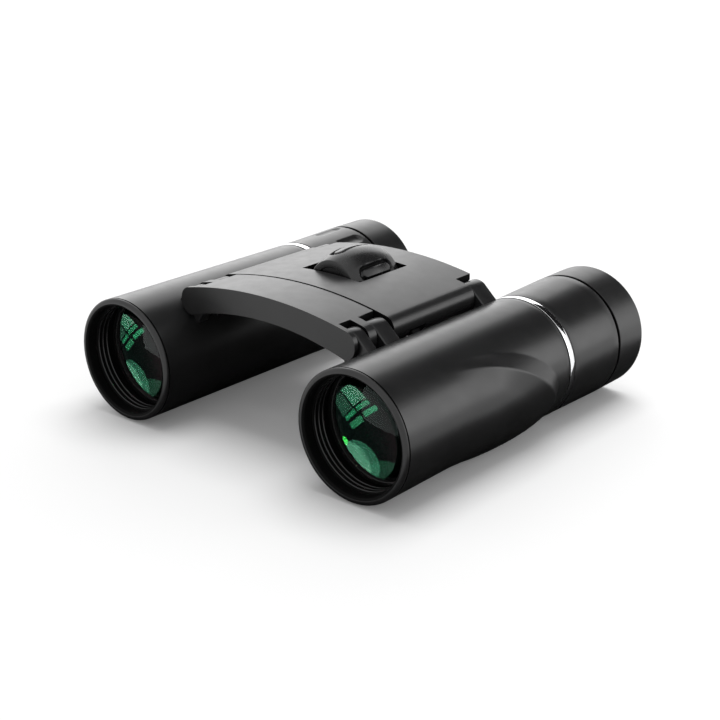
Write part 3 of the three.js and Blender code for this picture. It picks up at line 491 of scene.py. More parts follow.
def make_piece(bm, name, place, finish, stands_for, crease=32):
    """Make a drawing the finished object that stands for the named solids and rides with them."""
    bmesh.ops.transform(bm, matrix=place, verts=bm.verts)
    bmesh.ops.recalc_face_normals(bm, faces=bm.faces)
    piece = object_from(bm, name)
    piece.data.shade_smooth()
    piece.data.set_sharp_from_angle(angle=math.radians(crease))
    piece.data.materials.append(finish)
    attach(piece, rides_on[stands_for[0]])
    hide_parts(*stands_for)
    print(f"{name}: {len(piece.data.polygons)} faces on {rides_on[stands_for[0]]}")
    return piece


def refaced(piece, place, finish, chosen):
    """Give a second finish to faces chosen by their middle, as drawn, and their normal."""
    piece.data.materials.append(finish)
    to_drawing = place.inverted()
    for face in piece.data.polygons:
        if chosen(to_drawing @ face.center, face.normal):
            face.material_index = 1
    return piece


def pushed_out(v, rise):
    """Move a point of a turned piece away from the axis."""
    growth = 1 + rise / v.co.xz.length
    v.co.x *= growth
    v.co.z *= growth


def from_nearest(v, count, first):
    """Distance round the wall to the nearest of some evenly spaced lines, the first at an angle."""
    step = 360 / count
    turn = math.degrees(math.atan2(v.co.z, v.co.x)) - first
    return math.radians((turn + step / 2) % step - step / 2) * v.co.xz.length


# %% [markdown]
# ## Cutting
#
# Slots and pockets are cut as a machinist would: the waste is modelled as a closed block and
# taken away. The Boolean modifier does that on a temporary object, and its result is read back.
# A block's outline is drawn with arcs, each one a single vertex that is spun about its centre.
# The arcs' loose ends are joined, and the closed outline is extruded along the barrels.

# %% Helpers for cuts
def joined(parts):
    """Several closed bmeshes as one."""
    whole = bmesh.new()
    for part in parts:
        mesh = bpy.data.meshes.new("part")
        bmesh.ops.recalc_face_normals(part, faces=part.faces)
        part.to_mesh(mesh)
        part.free()
        whole.from_mesh(mesh)
        bpy.data.meshes.remove(mesh)
    return whole


def carved(body, cutters, operation="DIFFERENCE"):
    """The body after each closed cutter has been taken out of it (or joined to it)."""
    bmesh.ops.recalc_face_normals(body, faces=body.faces)
    work = object_from(body, "work")
    tools = []
    for cutter in cutters:
        bmesh.ops.recalc_face_normals(cutter, faces=cutter.faces)
        tools.append(object_from(cutter, "tool"))
        step = work.modifiers.new("cut", "BOOLEAN")
        step.operation = operation
        step.solver = "EXACT"
        step.object = tools[-1]
    shape = work.evaluated_get(bpy.context.evaluated_depsgraph_get()).to_mesh()
    result = bmesh.new()
    result.from_mesh(shape)
    for o in [work, *tools]:
        mesh = o.data
        bpy.data.objects.remove(o)
        bpy.data.meshes.remove(mesh)
    return result


def draw_arc(bm, x, z, radius, start, end, steps):
    """Spin one vertex about (x, z) between two turns, both counted from +X towards +Z."""
    first = bm.verts.new((x + radius * math.cos(start), 0, z + radius * math.sin(start)))
    bmesh.ops.spin(bm, geom=[first], cent=(x, 0, z), axis=(0, -1, 0), angle=end - start,
                   steps=steps)


def loose_ends(bm, order):
    """The points where a drawn line ends, sorted."""
    return sorted((v for v in bm.verts if len(v.link_edges) == 1), key=order)


def join_in_pairs(bm, order):
    """Close the gaps between several drawn lines."""
    ends = loose_ends(bm, order)
    for pair in zip(ends[::2], ends[1::2]):
        bm.edges.new(pair)


def join_round(bm, order, corners=()):
    """Close one drawn line by way of some (x, z) corners."""
    first, last = loose_ends(bm, order)
    chain = [first, *[bm.verts.new((x, 0, z)) for x, z in corners], last]
    for pair in zip(chain, chain[1:]):
        bm.edges.new(pair)


def extruded(bm, y0, y1, side=1):
    """The closed outline in bm as a solid from y0 to y1, for the left or the right."""
    face = bmesh.ops.contextual_create(bm, geom=bm.edges[:])["faces"]
    moved(bm, y=y0)
    grown = bmesh.ops.extrude_face_region(bm, geom=face)["geom"]
    far_end = [v for v in grown if isinstance(v, bmesh.types.BMVert)]
    bmesh.ops.translate(bm, vec=(0, y1 - y0, 0), verts=far_end)
    bmesh.ops.scale(bm, vec=(side, 1, 1), verts=bm.verts)
    return bm


def box_of(x0, x1, y0, y1, z0, z1):
    """A closed block between two corners."""
    bm = bmesh.new()
    bmesh.ops.create_cube(bm, size=1)
    bmesh.ops.scale(bm, vec=(x1 - x0, y1 - y0, z1 - z0), verts=bm.verts)
    return moved(bm, (x0 + x1) / 2, (y0 + y1) / 2, (z0 + z1) / 2)


# %% [markdown]
# ## The barrel tubes
#
# Each tube is a straight shell with a rounded front rim. On its outer side it carries a raised
# finger grip, shaped like a leaf that points forward: a slope climbs to a crest, and a shallow
# scoop falls away inside the crest. It could be cut with a curved tool, but a displaced turned
# shape gives the same surface with clean shading: the outer wall gets dense rings, and each of
# its points moves out by the height that the leaf has there.

# %% Height of the finger grip
GRIP_TIP, GRIP_HEIGHT, GRIP_SCOOP, GRIP_RISE = 20.3, 1.15, 0.55, 14
OUTLINE = (-8, 62, 34.5, 1.85)  # middle and half width in degrees, length, and the curve's power
CREST = (-16, 61, 32.6, 1.5)


def leaf(turn, y, centre, half_turn, length, power):
    """1 on the outline of a leaf that starts at the tip, less inside it and more outside it."""
    along = max(y - GRIP_TIP, 0) / length
    across = abs(turn - centre) / half_turn
    return (along ** power + across ** power) ** (1 / power)


def smooth(x):
    x = min(max(x, 0), 1)
    return x * x * (3 - 2 * x)


def grip_height(turn, y):
    """How far the grip stands out, at a turn in degrees about the axis and a distance y."""
    if y <= GRIP_TIP:
        return 0
    outer = 1 - leaf(turn, y, *OUTLINE)
    crest = leaf(turn, y, *CREST) - 1
    grown = smooth((y - GRIP_TIP) / GRIP_RISE)
    if outer <= 0:
        return 0
    if crest > 0:
        return GRIP_HEIGHT * grown * outer / (outer + crest)
    inside = min(-crest / 0.26, 1)
    return grown * (GRIP_HEIGHT - GRIP_SCOOP * inside * (2 - inside))


# %% [markdown]
# The ears are the hinge's half that belongs to the barrel. Their outline is a round about the pin
# with two flanks that run down into the tube's wall. A single vertex is spun about the pin to
# draw the round, the foot points close it, and the face is extruded along the pin.

# %% Ears of the tubes
pin_low, pin_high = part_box("left_hinge_pin")
PIN_IN = (AXIS_X - (pin_low.x + pin_high.x) / 2) / MM
PIN_UP = ((pin_low.z + pin_high.z) / 2 - AXIS_Z) / MM
PIN_X = AXIS_X / MM - PIN_IN
PIN_RADIUS = (pin_high.z - pin_low.z) / 2 / MM
PIN_BORE = PIN_RADIUS + 0.1
EAR_RADIUS, EAR_FOOT, EAR_SPREAD = 3.3, 14.47, math.radians(15.3)
EAR_SPANS = ((13.0, 16.2), (19.2, 24.0), (54.3, 59.6))
FOLD = math.radians(64)


def ear_prism(y0, y1, margin=0.0, fold=0.0):
    """An ear of the left barrel in its own drawing, grown by a margin and turned about the pin."""
    pin = Vector((-PIN_IN, 0, PIN_UP))
    pin_turn = math.atan2(PIN_UP, -PIN_IN)
    radius = EAR_RADIUS + margin
    bends = []
    for side in (-1, 1):
        turn = pin_turn + side * (EAR_SPREAD + margin / EAR_FOOT)
        foot = Vector((EAR_FOOT * math.cos(turn), 0, EAR_FOOT * math.sin(turn)))
        reach = foot - pin
        bends.append((foot, math.atan2(reach.z, reach.x) - side * math.acos(radius / reach.length)))
    (outer_foot, start), (inner_foot, end) = bends
    if end < start:
        end += 2 * math.pi
    bm = bmesh.new()
    draw_arc(bm, *pin.xz, radius, start, end, steps=20)
    first, last = loose_ends(bm, lambda v: (v.co - outer_foot).length)
    feet = [bm.verts.new(outer_foot), bm.verts.new(inner_foot)]
    for pair in ((feet[0], first), (last, feet[1]), (feet[1], feet[0])):
        bm.edges.new(pair)
    extruded(bm, y0, y1)
    bmesh.ops.rotate(bm, cent=pin, matrix=Matrix.Rotation(fold, 3, "Y"), verts=bm.verts)
    return bm


def soft_ear(y0, y1):
    """An ear with its end edges broken."""
    bm = ear_prism(y0, y1)
    rims = [e for e in bm.edges if abs(e.verts[0].co.y - e.verts[1].co.y) < 1e-6
            and max(v.co.xz.length for v in e.verts) > EAR_FOOT + 0.01]
    bmesh.ops.bevel(bm, geom=rims, offset=0.3, segments=3, profile=0.5, affect="EDGES", material=-1)
    return bm


# %% [markdown]
# The tube's outline starts at the bore and runs round the front rim. Behind the rim lies a narrow
# groove. The groove, the inside and the inner part of the rim get painted shade, a near-black,
# so the bright rim ends in a clean dark line.

# %% Barrel tubes
TUBE_END, BORE, LIP, LIP_REAR = 59.4, 13.7, 13.05, 2.6
TUBE_RADIUS, TUBE_REAR, NOSE, RIM_END = 14.8, 14.7, 0.75, 0.82


def tube_radius(y):
    return TUBE_RADIUS + (TUBE_REAR - TUBE_RADIUS) * y / TUBE_END


def tube_profile():
    rows = span(RIM_END + 0.5, GRIP_TIP, 6)[:-1] + span(GRIP_TIP, 56, 96) + [58]
    wall = [(tube_radius(y), y) for y in rows]
    groove = [(TUBE_RADIUS - depth, RIM_END + on)
              for depth, on in ((0, 0), (0.20, 0.08), (0.20, 0.32), (0, 0.4))]
    middle, half = (TUBE_RADIUS + LIP) / 2, (TUBE_RADIUS - LIP) / 2
    nose = [(middle - half * math.cos(a), NOSE * (1 - math.sin(a))) for a in span(0, math.pi, 18)]
    return [(BORE, TUBE_END), (BORE, LIP_REAR), (LIP, LIP_REAR), *nose, *groove, *wall,
            *rounded((TUBE_REAR, TUBE_END), -1, -1, 0.25, 3)]


def is_dark(at, normal):
    """The faces inside a tube, on the inner part of the rim and in the groove: painted shade."""
    out = at.xz.length
    return out < LIP + 0.60 or (at.y > 3 and out < BORE + 0.05) or RIM_END < at.y < RIM_END + 0.39


for side, name in SIDES:
    bm = spun(tube_profile(), steps=288)
    for v in bm.verts:
        if v.co.xz.length > BORE + 0.5 and v.co.y > GRIP_TIP:
            pushed_out(v, grip_height(math.degrees(math.atan2(v.co.z, v.co.x)), v.co.y))
    whole = joined([bm] + [soft_ear(*ear) for ear in EAR_SPANS])
    tube = make_piece(whole, f"{name}_tube", barrel_place(side), barrel_black,
                      [f"{name}_barrel_tube"])
    # Painted shade: the inside, the inner part of the rim and the groove get the near-black.
    refaced(tube, barrel_place(side), painted_shade_black, is_dark)

# %% [markdown]
# ## Inside the front of a tube
#
# Behind the front lip sits a short black sleeve with three sharp ridges. They trap stray light,
# and each ridge shows as one hair-thin bright ring. Then comes the retaining ring that holds the
# front lens, and the lens itself: a crown glass and a flint glass with matching curves.

# %% Baffles and retaining rings
def dome(curve, radius):
    """How far a lens face falls back at a radius."""
    return curve - math.sqrt(curve * curve - radius * radius)


baffle_front, baffle_rear, baffle_radius = millimetres("left_front_baffle")
retainer_front, retainer_rear, retainer_radius = millimetres("left_objective_retainer")
RIDGES, RIDGE_WALL, RIDGE_TOP = 3, 12.90, 12.72


def baffle_profile():
    pitch = (baffle_rear - baffle_front) / RIDGES
    teeth = []
    for i in range(RIDGES):
        y = baffle_front + (i + 0.5) * pitch
        teeth += [(RIDGE_WALL, y - 0.13), (RIDGE_TOP + 0.04, y - 0.07), (RIDGE_TOP, y),
                  (RIDGE_TOP + 0.04, y + 0.07), (RIDGE_WALL, y + 0.13)]
    return [(baffle_radius, baffle_front), (RIDGE_WALL + 0.1, baffle_front),
            (RIDGE_WALL, baffle_front + 0.1), *teeth, (RIDGE_WALL, baffle_rear),
            (baffle_radius, baffle_rear)]


def retainer_profile():
    outer, inner = retainer_radius, retainer_radius - 0.4
    return [(outer, retainer_front), (outer, retainer_rear), (inner, retainer_rear),
            (inner, retainer_rear - 0.35), (inner + 0.08, retainer_front + 0.06),
            (inner + 0.2, retainer_front)]


for side, name in SIDES:
    # Painted shade: the sleeve's walls between the ridges get the near-black, and only the ridges
    # keep a plain satin black.
    baffle = make_piece(spun(baffle_profile()), f"{name}_ridged_baffle", barrel_place(side),
                        painted_shade_black, [f"{name}_front_baffle"], crease=70)
    refaced(baffle, barrel_place(side), ridge_black,
            lambda at, normal: at.xz.length < RIDGE_WALL - 0.03)
    make_piece(spun(retainer_profile()), f"{name}_retaining_ring", barrel_place(side), ridge_black,
               [f"{name}_objective_retainer"])

# %% [markdown]
# A lens is the easiest turned piece: two arcs that share an edge. The outline runs from the axis
# along the front face, over the ground edge and back to the axis along the rear face.

# %% Lenses
def face_arc(vertex, curve, radius, steps=20):
    """Points of a lens face from the axis outwards: a positive curve falls back towards +y."""
    sign = 1 if curve > 0 else -1
    return [(r, vertex + sign * dome(abs(curve), r)) for r in span(0, radius, steps)]


def lens_shape(front, rear):
    return spun([*front, *reversed(rear)], steps=128, closed=False)


crown_front, crown_rear, crown_radius = millimetres("left_objective_crown_lens")
flint_front, flint_rear, flint_radius = millimetres("left_objective_flint_lens")
field_front, field_rear, field_radius = millimetres("left_field_lens")
eye_front, eye_rear, eye_radius = millimetres("left_eye_lens")
CROWN_CURVE, CEMENT_CURVE, EYE_CURVE = 58, 45, 24

flint_vertex = flint_front + dome(CEMENT_CURVE, flint_radius) + 0.04
lenses = (
    ("crown_glass", "objective_crown_lens", front_glass, "coated_glass",
     face_arc(crown_front, CROWN_CURVE, crown_radius),
     face_arc(crown_rear, -CEMENT_CURVE, crown_radius)),
    ("flint_glass", "objective_flint_lens", mirror_glass, "coated_glass",
     face_arc(flint_vertex, -CEMENT_CURVE, flint_radius),
     [(0, flint_rear), (flint_radius, flint_rear)]),
    ("field_glass", "field_lens", clear_glass, "clear_glass",
     [(0, field_front), (field_radius, field_front)],
     face_arc(field_rear, -EYE_CURVE, field_radius)),
    ("eye_glass", "eye_lens", coated_glass, "coated_glass",
     face_arc(eye_front, EYE_CURVE, eye_radius), face_arc(eye_rear, -2 * EYE_CURVE, eye_radius)))
for side, name in SIDES:
    for label, solid, glass, glass_slot, front, rear in lenses:
        lens = make_piece(lens_shape(front, rear), f"{name}_{label}", barrel_place(side), glass,
                          [f"{name}_{solid}"])
        if glass is front_glass:
            refaced(lens, barrel_place(side), cement_glass, lambda at, normal: normal.y > 0.2)

# %% [markdown]
# ## The rear section
#
# A narrow chrome ring closes each tube. Behind it the left barrel has a plain sleeve, and the
# right one the dioptre ring, which turns. Twelve long dents run round that ring for the finger
# tips. Each is a shallow trough with straight sides and round ends, so its depth depends only on
# the distance from a short line along the barrel.

# %% Chrome rings, sleeve and dioptre ring
chrome_front, chrome_rear, chrome_radius = millimetres("left_chrome_ring")
sleeve_front, sleeve_rear, sleeve_radius = millimetres("left_rear_sleeve")
SLEEVE_BORE = 12.5
DENTS, DENT_LENGTH, DENT_WIDTH, DENT_DEPTH = 12, 9.2, 3.3, 0.45
DENT_Y, FIRST_DENT = sleeve_rear - 5.7, 83


def trough(across, along, length, width):
    """1 in the middle of a trough with round ends, and 0 from its edge outwards."""
    beyond = max(abs(along) - (length - width) / 2, 0)
    off = math.hypot(across, beyond) / (width / 2)
    return 0 if off >= 1 else 1 - off ** 2.2


def ring_profile(front, rear, front_radius, rear_radius, edge, rows):
    wall = [(front_radius + (rear_radius - front_radius) * t, front + (rear - front) * t)
            for t in span(0, 1, rows)]
    wall = [(r, y) for r, y in wall if front + edge < y < rear - edge]
    return [(SLEEVE_BORE, rear), (SLEEVE_BORE, front),
            *reversed(rounded((front_radius, front), -1, 1, edge, 3)),
            *wall, *rounded((rear_radius, rear), -1, -1, edge, 3)]


for side, name in SIDES:
    chrome_ring = ring_profile(chrome_front, chrome_rear, chrome_radius, chrome_radius, 0.06, 2)
    make_piece(spun(chrome_ring), f"{name}_chrome_band", barrel_place(side), chrome,
               [f"{name}_chrome_ring"])

sleeve = (sleeve_front, sleeve_rear, chrome_radius, sleeve_radius, 0.2)
make_piece(spun(ring_profile(*sleeve, rows=8)), "left_smooth_sleeve", barrel_place(1), barrel_black,
           ["left_rear_sleeve"])
dioptre = spun(ring_profile(*sleeve, rows=72), steps=384)
for v in dioptre.verts:
    if v.co.xz.length > SLEEVE_BORE + 1:
        across = from_nearest(v, DENTS, FIRST_DENT)
        pushed_out(v, -DENT_DEPTH * trough(across, v.co.y - DENT_Y, DENT_LENGTH, DENT_WIDTH))
make_piece(dioptre, "right_dioptre_grip", barrel_place(-1), barrel_black, ["right_dioptre_ring"])

# %% [markdown]
# The eyecup is a short cap that slides out for users without glasses. A narrow neck parts it
# from the sleeve; the neck and the cap's front face get painted shade, a near-black. Its end is a
# shallow bowl with a hole for the eye lens, and its outer edge is well rounded, because it meets
# the face.

# %% Eyecups
cup_front, cup_rear, cup_radius = millimetres("left_eyecup")
CUP_RIM, CUP_HOLE, CUP_END, CUP_FLOOR, CUP_NECK = 11.8, 8.2, 3.5, 1.1, 0.38
CUP_INSIDE = cup_rear - CUP_END


def cup_profile():
    deep, wide = CUP_END - CUP_FLOOR, CUP_RIM - CUP_HOLE
    bowl = [(CUP_RIM - wide * math.sin(a), cup_rear - deep * (1 - math.cos(a)))
            for a in span(0, math.pi / 2, 12)]
    start = cup_front + CUP_NECK
    wall = [(cup_radius, y) for y in span(start + 0.3, cup_rear - 1, 6)]
    lip = [(CUP_RIM + 0.35, cup_rear), (CUP_RIM + 0.1, cup_rear - 0.08)]
    return [(SLEEVE_BORE, CUP_INSIDE), (SLEEVE_BORE, cup_front), (cup_radius - 0.6, cup_front),
            (cup_radius - 0.6, start), *reversed(rounded((cup_radius, start), -1, 1, 0.15, 3)),
            *wall, *rounded((cup_radius, cup_rear), -1, -1, 0.55, 6), *lip, *bowl[1:],
            (CUP_HOLE, CUP_INSIDE)]


for side, name in SIDES:
    cap = make_piece(spun(cup_profile()), f"{name}_eye_cap", barrel_place(side), cup_black,
                     [f"{name}_eyecup"])
    # Painted shade: the neck and the front face of the cap get the near-black.
    refaced(cap, barrel_place(side), painted_shade_black,
            lambda at, normal: at.y < cup_front + CUP_NECK + 0.02)

# %% [markdown]
# ## The bridge
#
# The bridge is a curved band that joins the two hinges. Its section has a flat crown on top, a
# rounded corner on each side, a rounding about each hinge pin and a gentle arch below. The
# section is drawn with six arcs and extruded along the barrels.

# %% Section of the bridge
BRIDGE_FRONT, PARTING, _ = millimetres("bridge_front_strip")
COVER_FRONT, BRIDGE_REAR, _ = millimetres("bridge_rear_cover")
cover_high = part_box("bridge_rear_cover")[1]
HALF_WIDTH, TOP_CROWN, BOTTOM_CROWN = cover_high.x / MM, (cover_high.z - AXIS_Z) / MM, PIN_UP + 0.5
SLEEVE_ROOM = 2.4
KNUCKLE, CORNER, KNEE, TOP_ARC = HALF_WIDTH - PIN_X, 2.9, math.radians(85), 108.7
knee_x = PIN_X + KNUCKLE * math.cos(KNEE)
knee_drop = BOTTOM_CROWN - PIN_UP + KNUCKLE * math.sin(KNEE)
BOTTOM_ARC = (knee_x ** 2 + knee_drop ** 2) / (2 * knee_drop)
top_centre, bottom_centre = TOP_CROWN - TOP_ARC, BOTTOM_CROWN - BOTTOM_ARC
corner_x = HALF_WIDTH - CORNER
corner_z = top_centre + math.sqrt((TOP_ARC - CORNER) ** 2 - corner_x ** 2)


def band(y0, y1):
    """The bridge's section, extruded from y0 to y1."""
    quarter = math.pi / 2
    lean = math.asin(corner_x / (TOP_ARC - CORNER))
    knee_lean = math.asin(knee_x / BOTTOM_ARC)
    bm = bmesh.new()
    draw_arc(bm, 0, top_centre, TOP_ARC, quarter - lean, quarter + lean, 48)
    draw_arc(bm, 0, bottom_centre, BOTTOM_ARC, quarter - knee_lean, quarter + knee_lean, 48)
    draw_arc(bm, corner_x, corner_z, CORNER, 0, quarter - lean, 8)
    draw_arc(bm, PIN_X, PIN_UP, KNUCKLE, 0, -KNEE, 14)
    draw_arc(bm, -corner_x, corner_z, CORNER, quarter + lean, math.pi, 8)
    draw_arc(bm, -PIN_X, PIN_UP, KNUCKLE, math.pi, math.pi + KNEE, 14)
    bmesh.ops.remove_doubles(bm, verts=bm.verts, dist=1e-3)
    join_in_pairs(bm, lambda v: (v.co.x > 0, v.co.z))
    return extruded(bm, y0, y1)


QUARTER_TURN = Matrix.Rotation(math.pi / 2, 3, "X")


def post(radius, z0, z1, x=0, y=0, steps=40):
    """A closed upright cylinder."""
    bm = bmesh.new()
    bmesh.ops.create_cone(bm, cap_ends=True, segments=steps, radius1=radius, radius2=radius,
                          depth=z1 - z0)
    return moved(bm, x, y, (z0 + z1) / 2)


def rod(radius, y0, y1, x=0, z=0):
    """A closed cylinder along Y."""
    half = (y1 - y0) / 2
    bm = post(radius, -half, half, steps=48)
    bmesh.ops.rotate(bm, cent=(0, 0, 0), matrix=QUARTER_TURN, verts=bm.verts)
    return moved(bm, x, (y0 + y1) / 2, z)


print(f"radius of the top {TOP_ARC:.1f} mm and of the arch below {BOTTOM_ARC:.1f} mm")

# %% [markdown]
# The front strip carries the two front hinge ears of each barrel in deep slots. A slot has to
# clear its ear from the open to the folded position, so the cutter is the ear itself, a little
# grown, at several steps of the fold, and a plain block for the open side.

# %% Front strip
EAR_GAP, SLOT_INNER = 0.3, PIN_X - SLEEVE_ROOM
PARTING_GAP, SKIN, EDGE_BREAK = 0.14, 0.12, 0.12
BELOW, BEYOND = -10, 40  # safely outside the bridge


def ear_pocket(y0, y1, side):
    """Cutters for the space that one ear sweeps."""
    swept = []
    for fold in span(0, FOLD, 3):
        ear = ear_prism(y0, y1, margin=EAR_GAP, fold=fold)
        moved(ear, AXIS_X / MM)
        bmesh.ops.scale(ear, vec=(side, 1, 1), verts=ear.verts)
        swept.append(ear)
    x0, x1 = sorted((side * SLOT_INNER, side * BEYOND))
    return swept + [box_of(x0, x1, y0, y1, BELOW, BEYOND)]


def with_painted_shade(piece, seen_end):
    """Painted shade on the walls of slots and holes, and on the cross faces away from the seen end.
    """
    def is_hidden(at, normal):
        if abs(normal.y) > 0.9:
            return abs(at.y - seen_end) >= 0.05
        x, z = abs(at.x), at.z
        in_skin = (x < HALF_WIDTH - SKIN and math.hypot(x, z - top_centre) < TOP_ARC - SKIN
                   and math.hypot(x, z - bottom_centre) > BOTTOM_ARC + SKIN)
        on_knuckle = x > PIN_X and z < PIN_UP and math.hypot(x - PIN_X, z - PIN_UP) > KNUCKLE - 0.1
        on_corner = (x > corner_x and z > corner_z
                     and math.hypot(x - corner_x, z - corner_z) > CORNER - 0.1)
        return in_skin and not on_knuckle and not on_corner

    return refaced(piece, BRIDGE_PLACE, painted_shade_black, is_hidden)


def softened(piece):
    """Break the sharp edges of a finished piece."""
    bevel = piece.modifiers.new("soft edges", "BEVEL")
    bevel.width = EDGE_BREAK * MM
    bevel.segments = 3
    bevel.limit_method = "ANGLE"
    bevel.angle_limit = math.radians(30)
    bevel.harden_normals = True
    bevel.miter_outer = "MITER_ARC"
    return piece


strip = band(BRIDGE_FRONT, PARTING - PARTING_GAP)
pockets = []
for side, name in SIDES:
    pockets += ear_pocket(EAR_SPANS[0][0] - EAR_GAP, EAR_SPANS[0][1] + EAR_GAP, side)
    pockets += ear_pocket(EAR_SPANS[1][0] - EAR_GAP, PARTING + 1, side)
    pockets.append(rod(PIN_BORE, BRIDGE_FRONT + 0.36, PARTING + 1, side * PIN_X, PIN_UP))
strip = carved(strip, pockets)
strip = make_piece(strip, "front_strip", BRIDGE_PLACE, bridge_black, ["bridge_front_strip"])
# Painted shade: the slot walls and the hidden cross faces of the strip get the near-black.
softened(with_painted_shade(strip, BRIDGE_FRONT))

# %% [markdown]
# The rear cover is the same band made hollow. It has bulkheads for the screw's bushes, a tunnel
# on each side for the sleeves that slide on the hinge pins, notches for the rear ears and a
# square opening for the focus wheel.

# %% Rear cover
SHELL, BULKHEAD, BUSH_SEAT, BUSH_BORE = 1.1, 2.2, 3.2, 2.25
CAVITY_HALF = SLOT_INNER - 1.4
CAVITY_FRONT, CAVITY_REAR = COVER_FRONT + BULKHEAD, BRIDGE_REAR - BULKHEAD
NOTCH_FRONT = BRIDGE_REAR - 5.6
WHEEL_FRONT, WHEEL_REAR, _ = millimetres("focus_wheel")
wheel_low, wheel_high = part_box("focus_wheel")
WHEEL_Z, WHEEL_CROWN = ((wheel_low.z + wheel_high.z) / 2 - AXIS_Z) / MM, 8.6
WHEEL_SLOT = WHEEL_CROWN + 0.3
ARM_FRONT, ARM_REAR = 30.1, 35.7


def top_inside(x):
    return top_centre + math.sqrt((TOP_ARC - SHELL) ** 2 - x * x)


def cavity():
    lean = math.asin(CAVITY_HALF / (TOP_ARC - SHELL))
    bm = bmesh.new()
    draw_arc(bm, 0, top_centre, TOP_ARC - SHELL, math.pi / 2 - lean, math.pi / 2 + lean, 32)
    join_round(bm, lambda v: v.co.x, ((-CAVITY_HALF, 0), (CAVITY_HALF, 0)))
    return extruded(bm, CAVITY_FRONT, CAVITY_REAR)


def tunnel(side):
    """Space round a sliding sleeve, open below the pin."""
    start, outside, drop = CAVITY_HALF - 0.5, HALF_WIDTH + 1, 0.7
    bm = bmesh.new()
    draw_arc(bm, PIN_X, PIN_UP, SLEEVE_ROOM, -math.asin(drop / SLEEVE_ROOM), math.pi / 2, 14)
    join_round(bm, lambda v: v.co.z, ((outside, PIN_UP - drop), (outside, 0), (start, 0),
                                      (start, top_inside(start) - 0.1)))
    return extruded(bm, COVER_FRONT + 1, NOTCH_FRONT - 1.6, side)


def skirt(side, y0, y1, reach, outside=3.2):
    """A thin lip round the tunnel, which hides the sliding sleeve from the side."""
    bm = bmesh.new()
    for radius in (SLEEVE_ROOM + 0.05, outside):
        draw_arc(bm, PIN_X, PIN_UP, radius, -math.radians(8), -math.radians(reach), 24)
    join_in_pairs(bm, lambda v: v.co.z)
    return extruded(bm, y0, y1, side)


cover = carved(band(COVER_FRONT + PARTING_GAP, BRIDGE_REAR),
               [rod(BUSH_SEAT, COVER_FRONT, CAVITY_FRONT, 0, WHEEL_Z),
                rod(BUSH_SEAT, CAVITY_REAR, BRIDGE_REAR, 0, WHEEL_Z)], "UNION")
cover_cuts = [cavity(), tunnel(1), tunnel(-1),
              rod(BUSH_BORE, COVER_FRONT - 1, CAVITY_FRONT + 1, 0, WHEEL_Z),
              rod(BUSH_BORE, CAVITY_REAR - 1, BRIDGE_REAR - 0.6, 0, WHEEL_Z),
              box_of(-WHEEL_SLOT, WHEEL_SLOT, WHEEL_FRONT - 0.45, WHEEL_REAR + 0.3, WHEEL_Z,
                     BEYOND)]
lips = []
for side, name in SIDES:
    cover_cuts += ear_pocket(NOTCH_FRONT, BRIDGE_REAR + 1, side)
    cover_cuts.append(rod(PIN_BORE, COVER_FRONT - 1, NOTCH_FRONT + 1, side * PIN_X, PIN_UP))
    lips += [skirt(side, COVER_FRONT + 0.2, ARM_FRONT, 100),
             skirt(side, ARM_FRONT, ARM_REAR, 26, outside=2.93),
             skirt(side, ARM_REAR, NOTCH_FRONT - 0.2, 100)]
cover = make_piece(joined([carved(cover, cover_cuts), *lips]), "rear_cover", BRIDGE_PLACE,
                   bridge_black, ["bridge_rear_cover"])
# Painted shade: the cavity, tunnel and slot walls and the hidden cross faces of the cover get the
# near-black.
softened(with_painted_shade(cover, BRIDGE_REAR))

# %% [markdown]
# ## The focus wheel
#
# The wheel is a barrel-shaped roller. Five long recesses lie round it, each with a raised bar in
# the middle that stops the finger. As on the dioptre ring, the relief is a height that depends on
# the distance from a line: down at the recess's edge, and up again at the bar's.

# %% Focus wheel
RECESSES, RECESS_TURN = 5, 32
RECESS_LENGTH, RECESS_WIDTH, RECESS_DEPTH = 11.6, 4.4, 0.70
BAR_WIDTH, BAR_TOP = 2.2, 0.62
WHEEL_END, WHEEL_EDGE, WHEEL_BORE = 6.95, 0.16, 1.25
DISH_INNER, DISH_OUTER, DISH_DEPTH, DISH_SLOPE = 2.6, 5.5, 0.25, 0.2


def recess_depth(across, along):
    beyond = max(abs(along) - (RECESS_LENGTH - RECESS_WIDTH) / 2, 0)
    off = math.hypot(across, beyond)
    down = smooth((RECESS_WIDTH / 2 - off) / 0.4)
    bar = smooth((BAR_WIDTH / 2 - off) / 0.40 + 0.5)
    return RECESS_DEPTH * down - BAR_TOP * bar


def wheel_radius(y):
    t = (2 * y - WHEEL_FRONT - WHEEL_REAR) / (WHEEL_REAR - WHEEL_FRONT)
    return WHEEL_END + (WHEEL_CROWN - WHEEL_END) * (1 - t * t)


def wheel_profile():
    end, chamfer = WHEEL_END, WHEEL_EDGE
    crown = [(wheel_radius(y), y) for y in span(WHEEL_FRONT + chamfer, WHEEL_REAR - chamfer, 110)]
    floor_y = WHEEL_FRONT + DISH_DEPTH
    dish = [(DISH_INNER, WHEEL_FRONT), (DISH_INNER + DISH_SLOPE, floor_y),
            (DISH_OUTER - DISH_SLOPE, floor_y), (DISH_OUTER, WHEEL_FRONT)]
    return [(WHEEL_BORE, WHEEL_REAR), (WHEEL_BORE, WHEEL_FRONT), *dish,
            (end - chamfer, WHEEL_FRONT), (end - 0.04, WHEEL_FRONT + 0.05), *crown,
            (end - 0.04, WHEEL_REAR - 0.05), (end - chamfer, WHEEL_REAR)]


wheel = spun(wheel_profile(), steps=288)
for v in wheel.verts:
    if v.co.xz.length > WHEEL_END - 0.05:
        across = from_nearest(v, RECESSES, RECESS_TURN)
        pushed_out(v, -recess_depth(across, v.co.y - (WHEEL_FRONT + WHEEL_REAR) / 2))
roller = make_piece(moved(wheel, z=WHEEL_Z), "focus_roller", BRIDGE_PLACE, wheel_black,
                    ["focus_wheel"])


